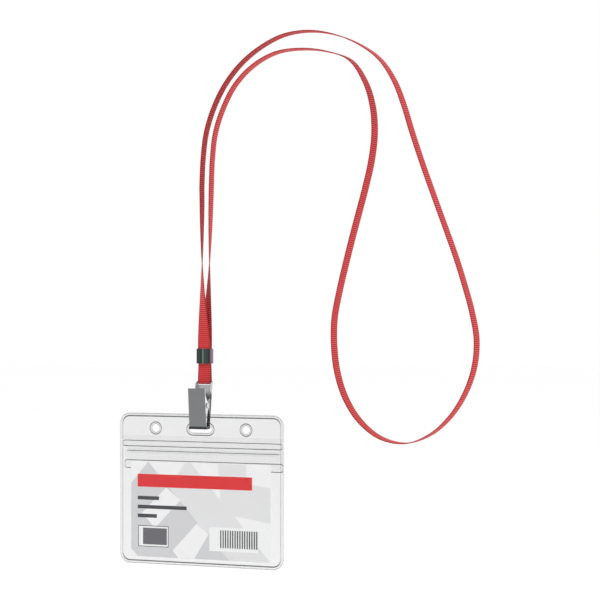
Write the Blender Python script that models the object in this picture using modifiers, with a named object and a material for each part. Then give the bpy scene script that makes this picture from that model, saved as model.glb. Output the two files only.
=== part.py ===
"""Lanyard badge holder: a ribbon neck loop, a crimped ferrule, a sprung bulldog clip and a clear zip pocket.

Units are metres and +Z is up. The part hangs: its origin is under the ribbon at the top of the neck loop,
where a neck or a hook carries it. The pocket's front faces -Y and its long side lies along X.
"""

import math

import bmesh
import bpy
from mathutils import Matrix, Vector

# Clearances -----------------------------------------------------------------------------------------
GAP = 0.0003  # between touching pieces that stay separate solids

# Ribbon ---------------------------------------------------------------------------------------------
RIBBON_WIDTH = 0.008
RIBBON_THICKNESS = 0.0006
RUN_SPREAD = 0.00305  # half the distance between the two runs once they lie face to face
TWIST_HEIGHT = 0.098  # height over which the runs turn from facing front to facing sideways
RUN_DRIFT = 0.0011  # how far the runs drift to the right while they turn
TWIST_STEPS = 14
TWIST_CLEAR = 0.0010  # straight stretch above the ferrule
LOOP_STATIONS = 53
LOOP_LEAN = math.radians(13.0)  # how far the loop's right part is turned about the vertical
LEAN_START = -0.030
LEAN_SPAN = 0.060
# The route of the neck loop seen from the front as (x, z), from the end of the twist on the left run,
# over the top, round the bottom of the free loop and back over the top to the right run.
LOOP_ROUTE = [
    (-0.0670, -0.0560), (-0.0634, -0.0392), (-0.0550, -0.0208), (-0.0420, -0.0051), (-0.0248, 0.0065),
    (-0.0123, 0.0104), (0.0002, 0.0112), (0.0131, 0.0092), (0.0321, 0.0010), (0.0453, -0.0101),
    (0.0540, -0.0256), (0.0601, -0.0438), (0.0643, -0.0573), (0.0729, -0.0819), (0.0803, -0.1022),
    (0.0890, -0.1265), (0.0975, -0.1558), (0.1001, -0.1747), (0.0973, -0.1925), (0.0913, -0.2057),
    (0.0831, -0.2174), (0.0714, -0.2270), (0.0567, -0.2316), (0.0430, -0.2285), (0.0302, -0.2185),
    (0.0226, -0.2069), (0.0176, -0.1935), (0.0150, -0.1735), (0.0158, -0.1558), (0.0225, -0.1259),
    (0.0314, -0.0926), (0.0374, -0.0693), (0.0397, -0.0470), (0.0361, -0.0248), (0.0248, -0.0069),
    (0.0131, -0.0020), (0.0000, 0.0003), (-0.0123, 0.0009), (-0.0248, -0.0019), (-0.0375, -0.0092),
    (-0.0486, -0.0211), (-0.0574, -0.0394), (-0.0610, -0.0560),
]

# Hanging line: where the ferrule, the clip and the pocket hang under the left side of the loop -------
HANG_X = -0.0664
HOLDER_SETBACK = 0.0064  # how far the pocket lies in front of the ribbon

# Ferrule --------------------------------------------------------------------------------------------
FERRULE_TOP = -0.1774
FERRULE_HEIGHT = 0.0090
FERRULE_WALL = 0.0005
FERRULE_SIDE_PLAY = 0.00035
FERRULE_CORNER = 0.0011
END_INSET = 0.0010  # how far the ribbon's ends stop short of the ferrule's edges

# Clip -----------------------------------------------------------------------------------------------
BAR_Z = -0.1973  # centre of the bar that the short strap passes round
BAR_HALF_HEIGHT = 0.0006
PLATE_THICKNESS = 0.0006
STRAP_SLOT_PLAY = 0.0003
BAR_POST = 0.00065  # metal left beside the strap's slot
REAR_WIDTH = RIBBON_WIDTH + 2 * (STRAP_SLOT_PLAY + BAR_POST)
REAR_LENGTH = 0.0285
CHEEK_THICKNESS = 0.0005
CHEEK_DEPTH = 0.0030
CHEEK_LENGTH = 0.0078
LEVER_WIDTH = 0.0108
LEVER_TOP = 0.0107  # above the pin
LEVER_LEAN = math.radians(6.0)
LIP_WIDTH = 0.0112
LIP_HEIGHT = 0.0016
LIP_CORNER = 0.0005
LIP_BULGE = 0.0003
PIN_Y = -0.0099
PIN_Z = -0.2112
PIN_RADIUS = 0.00095
PIN_HEAD_RADIUS = PIN_RADIUS + 0.00075
PIN_HEAD_HEIGHT = 0.0006
EAR_RADIUS = PIN_RADIUS + 0.00085
EAR_HALF_HEIGHT = 0.0036
SPRING_TURNS = 5
SPRING_WIRE = 0.0006
SPRING_PLAY = 0.00035  # between the pin and the coil
SPRING_RADIUS = PIN_RADIUS + SPRING_PLAY + SPRING_WIRE / 2
SPRING_LEG = 0.0068
LEVER_CLEAR = 0.0006  # between the coil and the lever's plate
LEVER_STANDOFF = SPRING_RADIUS + SPRING_WIRE / 2 + LEVER_CLEAR + PLATE_THICKNESS / 2
JAW_CLEAR = 0.0005  # between the header's back and the rear jaw, level with the top of the slot

# Card -----------------------------------------------------------------------------------------------
CARD_WIDTH = 0.090
CARD_HEIGHT = 0.058
CARD_THICKNESS = 0.0005
CARD_CORNER = 0.0010
CARD_DROP = 0.0294  # from the pocket's top edge to the card's
CARD_SHIFT = -0.0007  # the card lies a little to the left in its pocket
CARD_SIDE_PLAY = 0.0058  # between the card, when in the middle, and the pocket's side welds
CARD_FOOT_PLAY = 0.0022  # between the card and the bottom weld

# Pocket ---------------------------------------------------------------------------------------------
RIM_WIDTH = 0.0017
HOLDER_WIDTH = CARD_WIDTH + 2 * (CARD_SIDE_PLAY + RIM_WIDTH)
HOLDER_HEIGHT = CARD_DROP + CARD_HEIGHT + CARD_FOOT_PLAY + RIM_WIDTH
HOLDER_TOP = -0.2165
HOLDER_CORNER = 0.0065
SHEET_THICKNESS = 0.0004
RIM_PROUD = 0.00015
SLOT_DROP = 0.0091  # from the top edge to the middle of the slot
SLOT_WIDTH = 0.0145
SLOT_HEIGHT = 0.0043
SLOT_RIM = 0.0015
HOLE_SPREAD = 0.029
HOLE_DROP = 0.0090
HOLE_RADIUS = 0.0024
HOLE_RIM = 0.0013
MOUTH_DROP = 0.0169  # from the top edge to the mouth of the pocket
HEM_HEIGHT = 0.0034
HEM_PROUD = 0.0002
FLAP_WIDTH = HOLDER_WIDTH - 2 * 0.0015
FLAP_TOP_DROP = 0.0138
FLAP_BAND_DROP = 0.0285
FLAP_BOTTOM_DROP = 0.0339
FLAP_BAND_PROUD = 0.0002
ZIP_DROP = 0.0233
ZIP_LENGTH = FLAP_WIDTH - 2 * 0.0020
ZIP_BASE = 0.00025
ZIP_BASE_HEIGHT = 0.0030
ZIP_LIP = 0.0004
ZIP_LIP_DEPTH = 0.0005
ZIP_RIB_HEIGHT = 0.0007
ZIP_RIB_DEPTH = 0.0004

# Levels of the clear layers, from front to back, along Y --------------------------------------------
HOLDER_Y = -HOLDER_SETBACK
CARD_FRONT = HOLDER_Y - CARD_THICKNESS / 2
FRONT_SHEET_BACK = CARD_FRONT - GAP
FRONT_SHEET_FRONT = FRONT_SHEET_BACK - SHEET_THICKNESS
RIM_FRONT = FRONT_SHEET_FRONT - RIM_PROUD
BACK_SHEET_FRONT = CARD_FRONT + CARD_THICKNESS + GAP
RIM_BACK = BACK_SHEET_FRONT - GAP
BACK_SHEET_BACK = BACK_SHEET_FRONT + SHEET_THICKNESS
CHANNEL_FRONT = BACK_SHEET_BACK + GAP
CHANNEL_BACK = CHANNEL_FRONT + ZIP_BASE + ZIP_LIP_DEPTH
RIB_FRONT = CHANNEL_BACK + GAP
RIB_BACK = RIB_FRONT + ZIP_BASE
FLAP_FRONT = RIB_BACK + GAP
FLAP_TOP_FRONT = BACK_SHEET_BACK + GAP
SLOT_TOP_Z = HOLDER_TOP - SLOT_DROP + SLOT_HEIGHT / 2
REAR_LEAN = math.atan2(
    -(BACK_SHEET_BACK + JAW_CLEAR + PLATE_THICKNESS / 2), BAR_Z - SLOT_TOP_Z
)

# Turns an outline's own x, y and depth into world X, Z and Y, or into world Y, Z and X.
FACING_FRONT = Matrix(((1, 0, 0), (0, 0, 1), (0, 1, 0))).to_4x4()
FACING_SIDE = Matrix(((0, 0, 1), (1, 0, 0), (0, 1, 0))).to_4x4()
FACING_UP = Matrix.Identity(4)


# Scene and materials --------------------------------------------------------------------------------
def clear_scene():
    """Removes what the scene holds."""
    for old in list(bpy.data.objects):
        bpy.data.objects.remove(old, do_unlink=True)


def new_collection(name):
    """A collection linked under the scene's own."""
    collection = bpy.data.collections.new(name)
    bpy.context.scene.collection.children.link(collection)
    return collection


def finish(name, colour, roughness, metallic=0.0, transmission=0.0):
    """A Principled material of one colour."""
    made = bpy.data.materials.new(name)
    made.use_nodes = True
    shader = made.node_tree.nodes["Principled BSDF"]
    shader.inputs["Base Color"].default_value = (*colour, 1.0)
    shader.inputs["Roughness"].default_value = roughness
    shader.inputs["Metallic"].default_value = metallic
    shader.inputs["Transmission Weight"].default_value = transmission
    made.diffuse_color = (*colour, 1.0)
    return made


# Outlines -------------------------------------------------------------------------------------------
def arc(centre, radius, start, end, steps):
    """Points along an arc, with angles in degrees."""
    points = []
    for step in range(steps + 1):
        angle = math.radians(start + (end - start) * step / steps)
        points.append((centre[0] + radius * math.cos(angle), centre[1] + radius * math.sin(angle)))
    return points


def rounded_box(left, right, bottom, top, radius, steps=5):
    """A rectangle with round corners, as a closed outline."""
    corners = [
        ((right - radius, top - radius), 0),
        ((left + radius, top - radius), 90),
        ((left + radius, bottom + radius), 180),
        ((right - radius, bottom + radius), 270),
    ]
    points = []
    for centre, start in corners:
        points += arc(centre, radius, start, start + 90, steps)
    return points


def centred_box(centre, width, height, radius, steps=5):
    """A round-cornered rectangle about a centre."""
    x, y = centre
    return rounded_box(x - width / 2, x + width / 2, y - height / 2, y + height / 2, radius, steps)


def circle(centre, radius, steps=20):
    """A closed circle without a doubled end point."""
    return arc(centre, radius, 0, 360, steps)[:-1]


def sheet_outline(line, thickness):
    """The closed outline of a bent sheet whose middle follows a line of points."""
    half = thickness / 2
    points = [Vector(point) for point in line]
    left = []
    right = []
    for index, point in enumerate(points):
        before = (point - points[index - 1]).normalized() if index else None
        after = (points[index + 1] - point).normalized() if index < len(points) - 1 else None
        along = before or after
        if before and after:
            along = (before + after).normalized()
        normal = Vector((-along.y, along.x))
        reach = half / normal.dot(Vector((-(after or before).y, (after or before).x)))
        left.append(tuple(point + normal * reach))
        right.append(tuple(point - normal * reach))
    return left + right[::-1]


# Solids ---------------------------------------------------------------------------------------------
def link(name, mesh, collection, origin=(0, 0, 0)):
    """An object at an origin, whose mesh is given in world axes about that origin."""
    made = bpy.data.objects.new(name, mesh)
    made.location = origin
    collection.objects.link(made)
    return made


def solid_of(curve_object):
    """The welded mesh of a curve object, which is removed."""
    bpy.context.view_layer.update()
    graph = bpy.context.evaluated_depsgraph_get()
    mesh = bpy.data.meshes.new_from_object(curve_object.evaluated_get(graph))
    shape = bmesh.new()
    shape.from_mesh(mesh)
    bmesh.ops.remove_doubles(shape, verts=shape.verts, dist=1e-6)
    bmesh.ops.recalc_face_normals(shape, faces=shape.faces)
    shape.to_mesh(mesh)
    shape.free()
    curve = curve_object.data
    bpy.data.objects.remove(curve_object, do_unlink=True)
    bpy.data.curves.remove(curve)
    return mesh


def prism(name, outlines, low, high, facing, collection, origin=(0, 0, 0)):
    """A slab between two levels, from a closed outline and the outlines of its holes."""
    curve = bpy.data.curves.new(name, "CURVE")
    curve.dimensions = "2D"
    curve.fill_mode = "BOTH"
    curve.extrude = (high - low) / 2
    for outline in outlines:
        spline = curve.splines.new("POLY")
        spline.points.add(len(outline) - 1)
        for point, (x, y) in zip(spline.points, outline):
            point.co = (x, y, 0, 1)
        spline.use_cyclic_u = True
    flat = bpy.data.objects.new(name, curve)
    bpy.context.scene.collection.objects.link(flat)
    mesh = solid_of(flat)
    mesh.transform(Matrix.Translation((0, 0, (low + high) / 2)))
    mesh.transform(facing)
    mesh.transform(Matrix.Translation(-Vector(origin)))
    if facing.determinant() < 0:
        mesh.flip_normals()
    return link(name, mesh, collection, origin)


def combine(target, tool, operation):
    """Joins a tool to a target or cuts it away."""
    tool.hide_render = True
    tool.display_type = "WIRE"
    step = target.modifiers.new(operation.title() + " " + tool.name, "BOOLEAN")
    step.operation = operation
    step.solver = "EXACT"
    step.object = tool


def turned_about_x(name, profile, collection, origin, steps=24):
    """A solid turned about the X axis, from a profile of (x, radius) running from right to left."""
    mesh = bpy.data.meshes.new(name)
    points = [(x, 0.0, radius) for x, radius in profile]
    edges = [(index, index + 1) for index in range(len(points) - 1)]
    mesh.from_pydata(points, edges, [])
    turned = link(name, mesh, collection, origin)
    screw = turned.modifiers.new("Turn", "SCREW")
    screw.axis = "X"
    screw.steps = steps
    screw.render_steps = steps
    screw.use_merge_vertices = True
    screw.merge_threshold = 0.00001
    screw.use_normal_calculate = True
    return turned


# Ribbon ---------------------------------------------------------------------------------------------
def smooth_between(before, start, end, after, share):
    """A point of the Catmull-Rom curve through four points, between the middle two."""
    first = (end - before) * 0.5
    last = (after - start) * 0.5
    square = share * share
    cube = square * share
    return (
        start * (2 * cube - 3 * square + 1) + first * (cube - 2 * square + share)
        + end * (3 * square - 2 * cube) + last * (cube - square)
    )


def evenly_along(points, count):
    """So many points at even distances along a smooth curve through the points given."""
    ends = [points[0] * 2 - points[1]] + points + [points[-1] * 2 - points[-2]]
    fine = []
    for index in range(len(points) - 1):
        for step in range(16):
            fine.append(smooth_between(*ends[index:index + 4], step / 16))
    fine.append(points[-1])
    travelled = [0.0]
    for start, end in zip(fine, fine[1:]):
        travelled.append(travelled[-1] + (end - start).length)
    even = []
    index = 0
    for step in range(count):
        wanted = travelled[-1] * step / (count - 1)
        while index < len(fine) - 2 and travelled[index + 1] < wanted:
            index += 1
        share = (wanted - travelled[index]) / (travelled[index + 1] - travelled[index])
        even.append(fine[index].lerp(fine[index + 1], min(max(share, 0.0), 1.0)))
    return even


def ribbon(name, centres, widths, collection):
    """A flat ribbon along a line of centres, with the direction of its width at each."""
    shape = bmesh.new()
    before = None
    for centre, across in zip(centres, widths):
        half = across.normalized() * (RIBBON_WIDTH / 2)
        pair = (shape.verts.new(centre - half), shape.verts.new(centre + half))
        if before:
            shape.faces.new((before[0], before[1], pair[1], pair[0]))
        before = pair
    mesh = bpy.data.meshes.new(name)
    shape.to_mesh(mesh)
    shape.free()
    strip = link(name, mesh, collection)
    wall = strip.modifiers.new("Thickness", "SOLIDIFY")
    wall.thickness = RIBBON_THICKNESS
    wall.offset = 0.0
    wall.use_even_offset = True
    return strip


def ply_offset():
    """Distance between the middles of two plies that lie on each other in the ferrule."""
    return RIBBON_THICKNESS + GAP


def twisting_run(side):
    """The centres and width directions of one run, from inside the ferrule up to the end of its twist."""
    lowest = FERRULE_TOP - FERRULE_HEIGHT + END_INSET
    start = FERRULE_TOP + TWIST_CLEAR
    heights = [lowest, (lowest + start) / 2]
    heights += [start + TWIST_HEIGHT * step / TWIST_STEPS for step in range(TWIST_STEPS + 1)]
    pressed = 1.5 * ply_offset()
    centres = []
    widths = []
    for height in heights:
        share = max(0.0, height - start) / TWIST_HEIGHT
        turn = -math.pi / 2 * (1 - (1 - share) ** 2)
        spread = pressed + (RUN_SPREAD - pressed) * share
        away = Vector((math.sin(turn), -math.cos(turn), 0)) * spread * side
        centres.append(Vector((HANG_X + RUN_DRIFT * share, 0, height)) + away)
        widths.append(Vector((math.cos(turn), math.sin(turn), 0)))
    return centres, widths


def loop_widths(centres):
    """The direction of the ribbon's width at each station of the loop, which leans round to the right."""
    widths = []
    for index, centre in enumerate(centres):
        before = centres[max(index - 1, 0)]
        after = centres[min(index + 1, len(centres) - 1)]
        along = (after - before).normalized()
        share = min(max((centre.x - LEAN_START) / LEAN_SPAN, 0.0), 1.0)
        lean = LOOP_LEAN * share * share * (3 - 2 * share)
        facing = Vector((-math.sin(lean), -math.cos(lean), 0))
        widths.append((facing - along * facing.dot(along)).normalized())
    return widths


def neck_strap(collection):
    """The neck loop, from the ferrule round the whole loop and back into the ferrule."""
    left, left_widths = twisting_run(1)
    right, right_widths = twisting_run(-1)
    route = [left[-1]] + [Vector((x, 0, z)) for x, z in LOOP_ROUTE] + [right[-1]]
    loop = evenly_along(route, LOOP_STATIONS)[1:-1]
    centres = left + loop + right[::-1]
    widths = left_widths + loop_widths(loop) + right_widths[::-1]
    return ribbon("neck_strap", centres, widths, collection)


def clip_loop_strap(collection):
    """The short doubled strap, down from the ferrule, round the clip's bar and up again."""
    radius = math.hypot(BAR_HALF_HEIGHT, PLATE_THICKNESS / 2) + GAP + RIBBON_THICKNESS / 2
    top = FERRULE_TOP - END_INSET
    bottom = FERRULE_TOP - FERRULE_HEIGHT
    front = [
        Vector((HANG_X, -ply_offset() / 2, top)),
        Vector((HANG_X, -ply_offset() / 2, bottom)),
        Vector((HANG_X, -ply_offset() / 2 - 0.0002, bottom - 0.0020)),
        Vector((HANG_X, -radius, BAR_Z + 0.0020)),
    ]
    bend = []
    for step in range(9):
        angle = math.pi * step / 8
        bend.append(Vector((HANG_X, -radius * math.cos(angle), BAR_Z - radius * math.sin(angle))))
    back = [Vector((point.x, -point.y, point.z)) for point in reversed(front)]
    centres = front + bend + back
    return ribbon("clip_loop_strap", centres, [Vector((1, 0, 0))] * len(centres), collection)


# Ferrule --------------------------------------------------------------------------------------------
def crimp_ferrule(collection):
    """A flattened tube round the four plies."""
    inner_width = RIBBON_WIDTH + 2 * FERRULE_SIDE_PLAY
    inner_depth = 4 * RIBBON_THICKNESS + 5 * GAP
    inner = centred_box((HANG_X, 0), inner_width, inner_depth, FERRULE_CORNER - FERRULE_WALL)
    outer = centred_box(
        (HANG_X, 0), inner_width + 2 * FERRULE_WALL, inner_depth + 2 * FERRULE_WALL, FERRULE_CORNER
    )
    return prism(
        "crimp_ferrule", [outer, inner], FERRULE_TOP - FERRULE_HEIGHT, FERRULE_TOP, FACING_UP, collection
    )


# Clip -----------------------------------------------------------------------------------------------
def rear_point(down, forward=0.0):
    """World (y, z) of a point on the rear jaw, measured down its plate from the bar and forward of it."""
    along = Vector((-math.sin(REAR_LEAN), -math.cos(REAR_LEAN)))
    ahead = Vector((-math.cos(REAR_LEAN), math.sin(REAR_LEAN)))
    return tuple(Vector((0.0, BAR_Z)) + along * down + ahead * forward)


def rear_inner_half():
    """Half the distance between the inner faces of the ears that carry the pin."""
    return LEVER_WIDTH / 2 - CHEEK_THICKNESS - GAP - CHEEK_THICKNESS


def clip_rear_jaw(collection, cutters):
    """The pressed body of the clip: plate, strap slot, side cheeks, ears for the pin and the rear jaw."""
    origin = (HANG_X, 0, BAR_Z)
    bottom = REAR_LENGTH - BAR_HALF_HEIGHT
    line = [rear_point(-BAR_HALF_HEIGHT), rear_point(bottom)]
    jaw = prism(
        "clip_rear_jaw", [sheet_outline(line, PLATE_THICKNESS)],
        HANG_X - REAR_WIDTH / 2, HANG_X + REAR_WIDTH / 2, FACING_SIDE, collection, origin,
    )
    slot_top = BAR_Z - BAR_HALF_HEIGHT * math.cos(REAR_LEAN)
    bend = math.hypot(BAR_HALF_HEIGHT, PLATE_THICKNESS / 2) + GAP + RIBBON_THICKNESS
    slot_bottom = BAR_Z - bend - GAP
    slot = centred_box(
        (HANG_X, (slot_top + slot_bottom) / 2), RIBBON_WIDTH + 2 * STRAP_SLOT_PLAY,
        slot_top - slot_bottom, 0.0003, 3,
    )
    combine(jaw, prism("strap_slot_cutter", [slot], -0.004, 0.004, FACING_FRONT, cutters), "DIFFERENCE")
    overlap = PLATE_THICKNESS / 4
    cheek = [
        rear_point(-BAR_HALF_HEIGHT + 0.0008, -overlap), rear_point(-BAR_HALF_HEIGHT + 0.0008, 0.0012),
        rear_point(0.0016, CHEEK_DEPTH), rear_point(CHEEK_LENGTH - 0.0016, CHEEK_DEPTH),
        rear_point(CHEEK_LENGTH, 0.0012), rear_point(CHEEK_LENGTH, -overlap),
    ]
    pin = Vector((PIN_Y, PIN_Z))
    foot = rear_point((BAR_Z - PIN_Z) / math.cos(REAR_LEAN))
    foot_down = (Vector(foot) - Vector((0, BAR_Z))).length
    tip = arc(tuple(pin), EAR_RADIUS, 70, 290, 10)
    ear = [rear_point(foot_down - EAR_HALF_HEIGHT, -overlap)]
    ear += [rear_point(foot_down - EAR_HALF_HEIGHT, 0.0018)] + tip
    ear += [
        rear_point(foot_down + EAR_HALF_HEIGHT, 0.0022),
        rear_point(bottom - 0.0060, 0.0007), rear_point(bottom - 0.0050, -overlap),
    ]
    inner = rear_inner_half()
    outer = REAR_WIDTH / 2
    for side, label in ((-1, "left"), (1, "right")):
        flat = sorted((side * (outer - CHEEK_THICKNESS), side * outer))
        tall = sorted((side * inner, side * (inner + CHEEK_THICKNESS)))
        combine(jaw, prism(
            "rear_cheek_" + label, [cheek], HANG_X + flat[0], HANG_X + flat[1], FACING_SIDE, cutters
        ), "UNION")
        combine(jaw, prism(
            "rear_ear_" + label, [ear, circle(tuple(pin), PIN_RADIUS + GAP)],
            HANG_X + tall[0], HANG_X + tall[1], FACING_SIDE, cutters,
        ), "UNION")
    return jaw


def lever_point(up, back=0.0):
    """World (y, z) of a point on the lever, measured up its plate from beside the pin and back from it."""
    along = Vector((-math.sin(LEVER_LEAN), math.cos(LEVER_LEAN)))
    behind = Vector((math.cos(LEVER_LEAN), math.sin(LEVER_LEAN)))
    start = Vector((PIN_Y, PIN_Z)) - behind * LEVER_STANDOFF
    return tuple(start + along * up + behind * back)


def lip_top():
    """Level of the lip's top, which carries the top edge of the pocket's slot."""
    return SLOT_TOP_Z - GAP


def clip_lever(collection, cutters):
    """The front lever: plate, side cheeks with the pin's holes, and the lip that goes through the slot."""
    origin = (HANG_X, PIN_Y, PIN_Z)
    half = LEVER_WIDTH / 2
    foot = lever_point(-(PIN_Z - lip_top()) / math.cos(LEVER_LEAN))
    plate_line = [lever_point(LEVER_TOP), (foot[0], lip_top() - LIP_HEIGHT / 2)]
    lever = prism(
        "clip_lever", [sheet_outline(plate_line, PLATE_THICKNESS)],
        HANG_X - half, HANG_X + half, FACING_SIDE, collection, origin,
    )
    lip_front = foot[0] - PLATE_THICKNESS / 2 - LIP_BULGE
    lip_foot = lip_top() - LIP_HEIGHT
    lip_back = rear_point((BAR_Z - lip_foot) / math.cos(REAR_LEAN), PLATE_THICKNESS / 2)[0] - GAP
    lip = rounded_box(lip_front, lip_back, lip_foot, lip_top(), LIP_CORNER, 3)
    combine(lever, prism(
        "lever_lip", [lip], HANG_X - LIP_WIDTH / 2, HANG_X + LIP_WIDTH / 2, FACING_SIDE, cutters
    ), "UNION")
    overlap = PLATE_THICKNESS / 4
    pin = Vector((PIN_Y, PIN_Z))
    tip = arc(tuple(pin), EAR_RADIUS, 60, -60, 8)
    cheek = [lever_point(0.0060, -overlap), lever_point(0.0060, 0.0007)] + tip
    cheek += [lever_point(-0.0100, 0.0007), lever_point(-0.0100, -overlap)]
    hole = circle(tuple(pin), PIN_RADIUS + GAP)
    for side, label in ((-1, "left"), (1, "right")):
        span = sorted((side * (half - CHEEK_THICKNESS), side * half))
        combine(lever, prism(
            "lever_cheek_" + label, [cheek, hole], HANG_X + span[0], HANG_X + span[1], FACING_SIDE, cutters
        ), "UNION")
    return lever


def clip_pin(collection):
    """The rivet pin, with a low domed head at each end."""
    reach = LEVER_WIDTH / 2 + GAP
    end = reach + PIN_HEAD_HEIGHT
    head = [
        (end, 0.0), (end, PIN_HEAD_RADIUS * 0.45), (end - PIN_HEAD_HEIGHT * 0.3, PIN_HEAD_RADIUS * 0.85),
        (reach + PIN_HEAD_HEIGHT * 0.3, PIN_HEAD_RADIUS), (reach, PIN_HEAD_RADIUS), (reach, PIN_RADIUS),
    ]
    profile = head + [(-x, radius) for x, radius in reversed(head)]
    return turned_about_x("clip_pin", profile, collection, (HANG_X, PIN_Y, PIN_Z))


def clip_spring(collection):
    """The torsion spring round the pin, with a leg up behind the lever and a leg up the rear plate."""
    pitch = SPRING_WIRE + GAP / 2
    half = SPRING_TURNS * pitch / 2
    start = math.radians(150)
    swept = 2 * math.pi * SPRING_TURNS + math.radians(60)
    steps = 12 * SPRING_TURNS
    coil = []
    for step in range(steps + 1):
        share = step / steps
        angle = start - swept * share
        coil.append(Vector((
            -half + 2 * half * share, SPRING_RADIUS * math.cos(angle), SPRING_RADIUS * math.sin(angle)
        )))
    reach = PLATE_THICKNESS / 2 + SPRING_WIRE / 2 + GAP
    front_end = Vector(lever_point(SPRING_LEG, reach)) - Vector((PIN_Y, PIN_Z))
    down = (BAR_Z - PIN_Z - SPRING_LEG) / math.cos(REAR_LEAN)
    rear_end = Vector(rear_point(down, reach)) - Vector((PIN_Y, PIN_Z))
    points = [Vector((coil[0].x, front_end.x, front_end.y))] + coil
    points += [Vector((coil[-1].x, rear_end.x, rear_end.y))]
    curve = bpy.data.curves.new("clip_spring", "CURVE")
    curve.dimensions = "3D"
    curve.bevel_depth = SPRING_WIRE / 2
    curve.bevel_resolution = 1
    curve.use_fill_caps = True
    spline = curve.splines.new("POLY")
    spline.points.add(len(points) - 1)
    for target, point in zip(spline.points, points):
        target.co = (*point, 1)
    wire = bpy.data.objects.new("clip_spring", curve)
    wire.location = (HANG_X, PIN_Y, PIN_Z)
    collection.objects.link(wire)
    return wire


# Pocket ---------------------------------------------------------------------------------------------
def holder_outline(inset=0.0, top_drop=0.0, side_inset=None):
    """The pocket's outline in the XZ plane, drawn in by an inset, from so far below the top edge."""
    side = inset if side_inset is None else side_inset
    half = HOLDER_WIDTH / 2 - side
    bottom = HOLDER_TOP - HOLDER_HEIGHT + inset
    radius = max(HOLDER_CORNER - inset, 0.0005)
    top = HOLDER_TOP - max(top_drop, inset)
    if not top_drop:
        return rounded_box(HANG_X - half, HANG_X + half, bottom, top, radius)
    points = [(HANG_X + half, top), (HANG_X - half, top)]
    points += arc((HANG_X - half + radius, bottom + radius), radius, 180, 270, 5)
    return points + arc((HANG_X + half - radius, bottom + radius), radius, 270, 360, 5)


def header_outline():
    """The outline of the header's second layer, down to just above the mouth."""
    half = HOLDER_WIDTH / 2
    radius = HOLDER_CORNER
    bottom = HOLDER_TOP - MOUTH_DROP + 2 * GAP
    points = [(HANG_X - half, bottom), (HANG_X + half, bottom)]
    points += arc((HANG_X + half - radius, HOLDER_TOP - radius), radius, 0, 90, 5)
    return points + arc((HANG_X - half + radius, HOLDER_TOP - radius), radius, 90, 180, 5)


def header_openings(extra=0.0):
    """The outlines of the slot and of the two round holes, widened by so much all round."""
    slot = centred_box(
        (HANG_X, HOLDER_TOP - SLOT_DROP), SLOT_WIDTH + 2 * extra, SLOT_HEIGHT + 2 * extra,
        SLOT_HEIGHT / 2 + extra, 8,
    )
    holes = [
        circle((HANG_X + side * HOLE_SPREAD, HOLDER_TOP - HOLE_DROP), HOLE_RADIUS + extra, 24)
        for side in (-1, 1)
    ]
    return [slot] + holes


def pocket_front_sheet(collection, cutters):
    """The clear front with its welded rim, and welded rings round the slot and the holes."""
    sheet = prism(
        "pocket_front_sheet", [holder_outline()] + header_openings(),
        FRONT_SHEET_FRONT, FRONT_SHEET_BACK, FACING_FRONT, collection, (HANG_X, HOLDER_Y, SLOT_TOP_Z),
    )
    rim = prism(
        "rim_weld", [holder_outline(), holder_outline(RIM_WIDTH)], RIM_FRONT, RIM_BACK, FACING_FRONT, cutters
    )
    combine(sheet, rim, "UNION")
    rings = zip(("slot", "left_hole", "right_hole"), header_openings(), (SLOT_RIM, HOLE_RIM, HOLE_RIM))
    for index, (label, opening, width) in enumerate(rings):
        ring = prism(
            label + "_weld", [header_openings(width)[index], opening],
            RIM_FRONT, RIM_BACK, FACING_FRONT, cutters,
        )
        combine(sheet, ring, "UNION")
    return sheet


def header_back_strip(collection):
    """The second layer of the header, with the same slot and holes."""
    return prism(
        "header_back_strip", [header_outline()] + header_openings(),
        BACK_SHEET_FRONT, BACK_SHEET_BACK, FACING_FRONT, collection, (HANG_X, HOLDER_Y, SLOT_TOP_Z),
    )


def pocket_back_sheet(collection, cutters):
    """The clear back, from the mouth down, with a thicker hem along the mouth."""
    sheet = prism(
        "pocket_back_sheet", [holder_outline(0.0, MOUTH_DROP)],
        BACK_SHEET_FRONT, BACK_SHEET_BACK, FACING_FRONT, collection, (HANG_X, HOLDER_Y, SLOT_TOP_Z),
    )
    half = FLAP_WIDTH / 2
    top = HOLDER_TOP - MOUTH_DROP
    hem = prism(
        "mouth_hem", [rounded_box(HANG_X - half, HANG_X + half, top - HEM_HEIGHT, top, 0.0010)],
        BACK_SHEET_FRONT + SHEET_THICKNESS / 4, BACK_SHEET_BACK + HEM_PROUD, FACING_FRONT, cutters,
    )
    combine(sheet, hem, "UNION")
    return sheet


def flap_hinge():
    """World (y, z) of the line about which the flap bends."""
    return FLAP_TOP_FRONT + SHEET_THICKNESS / 2, HOLDER_TOP - FLAP_TOP_DROP


def closing_flap(collection, cutters):
    """The flap behind the mouth: a short upper edge, a step over the zip and a thicker band below."""
    y, z = flap_hinge()
    lower_y = FLAP_FRONT + SHEET_THICKNESS / 2
    step_top = HOLDER_TOP - MOUTH_DROP + 0.0016
    step_bottom = HOLDER_TOP - ZIP_DROP + ZIP_BASE_HEIGHT / 2 + 0.0007
    line = [(y, z), (y, step_top), (lower_y, step_bottom), (lower_y, HOLDER_TOP - FLAP_BOTTOM_DROP)]
    half = FLAP_WIDTH / 2
    flap = prism(
        "closing_flap", [sheet_outline(line, SHEET_THICKNESS)],
        HANG_X - half, HANG_X + half, FACING_SIDE, collection, (HANG_X, y, z),
    )
    band = rounded_box(
        HANG_X - half, HANG_X + half, HOLDER_TOP - FLAP_BOTTOM_DROP, HOLDER_TOP - FLAP_BAND_DROP, 0.0015
    )
    combine(flap, prism(
        "flap_band", [band], FLAP_FRONT + SHEET_THICKNESS / 4,
        FLAP_FRONT + SHEET_THICKNESS + FLAP_BAND_PROUD, FACING_FRONT, cutters,
    ), "UNION")
    return flap


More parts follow.
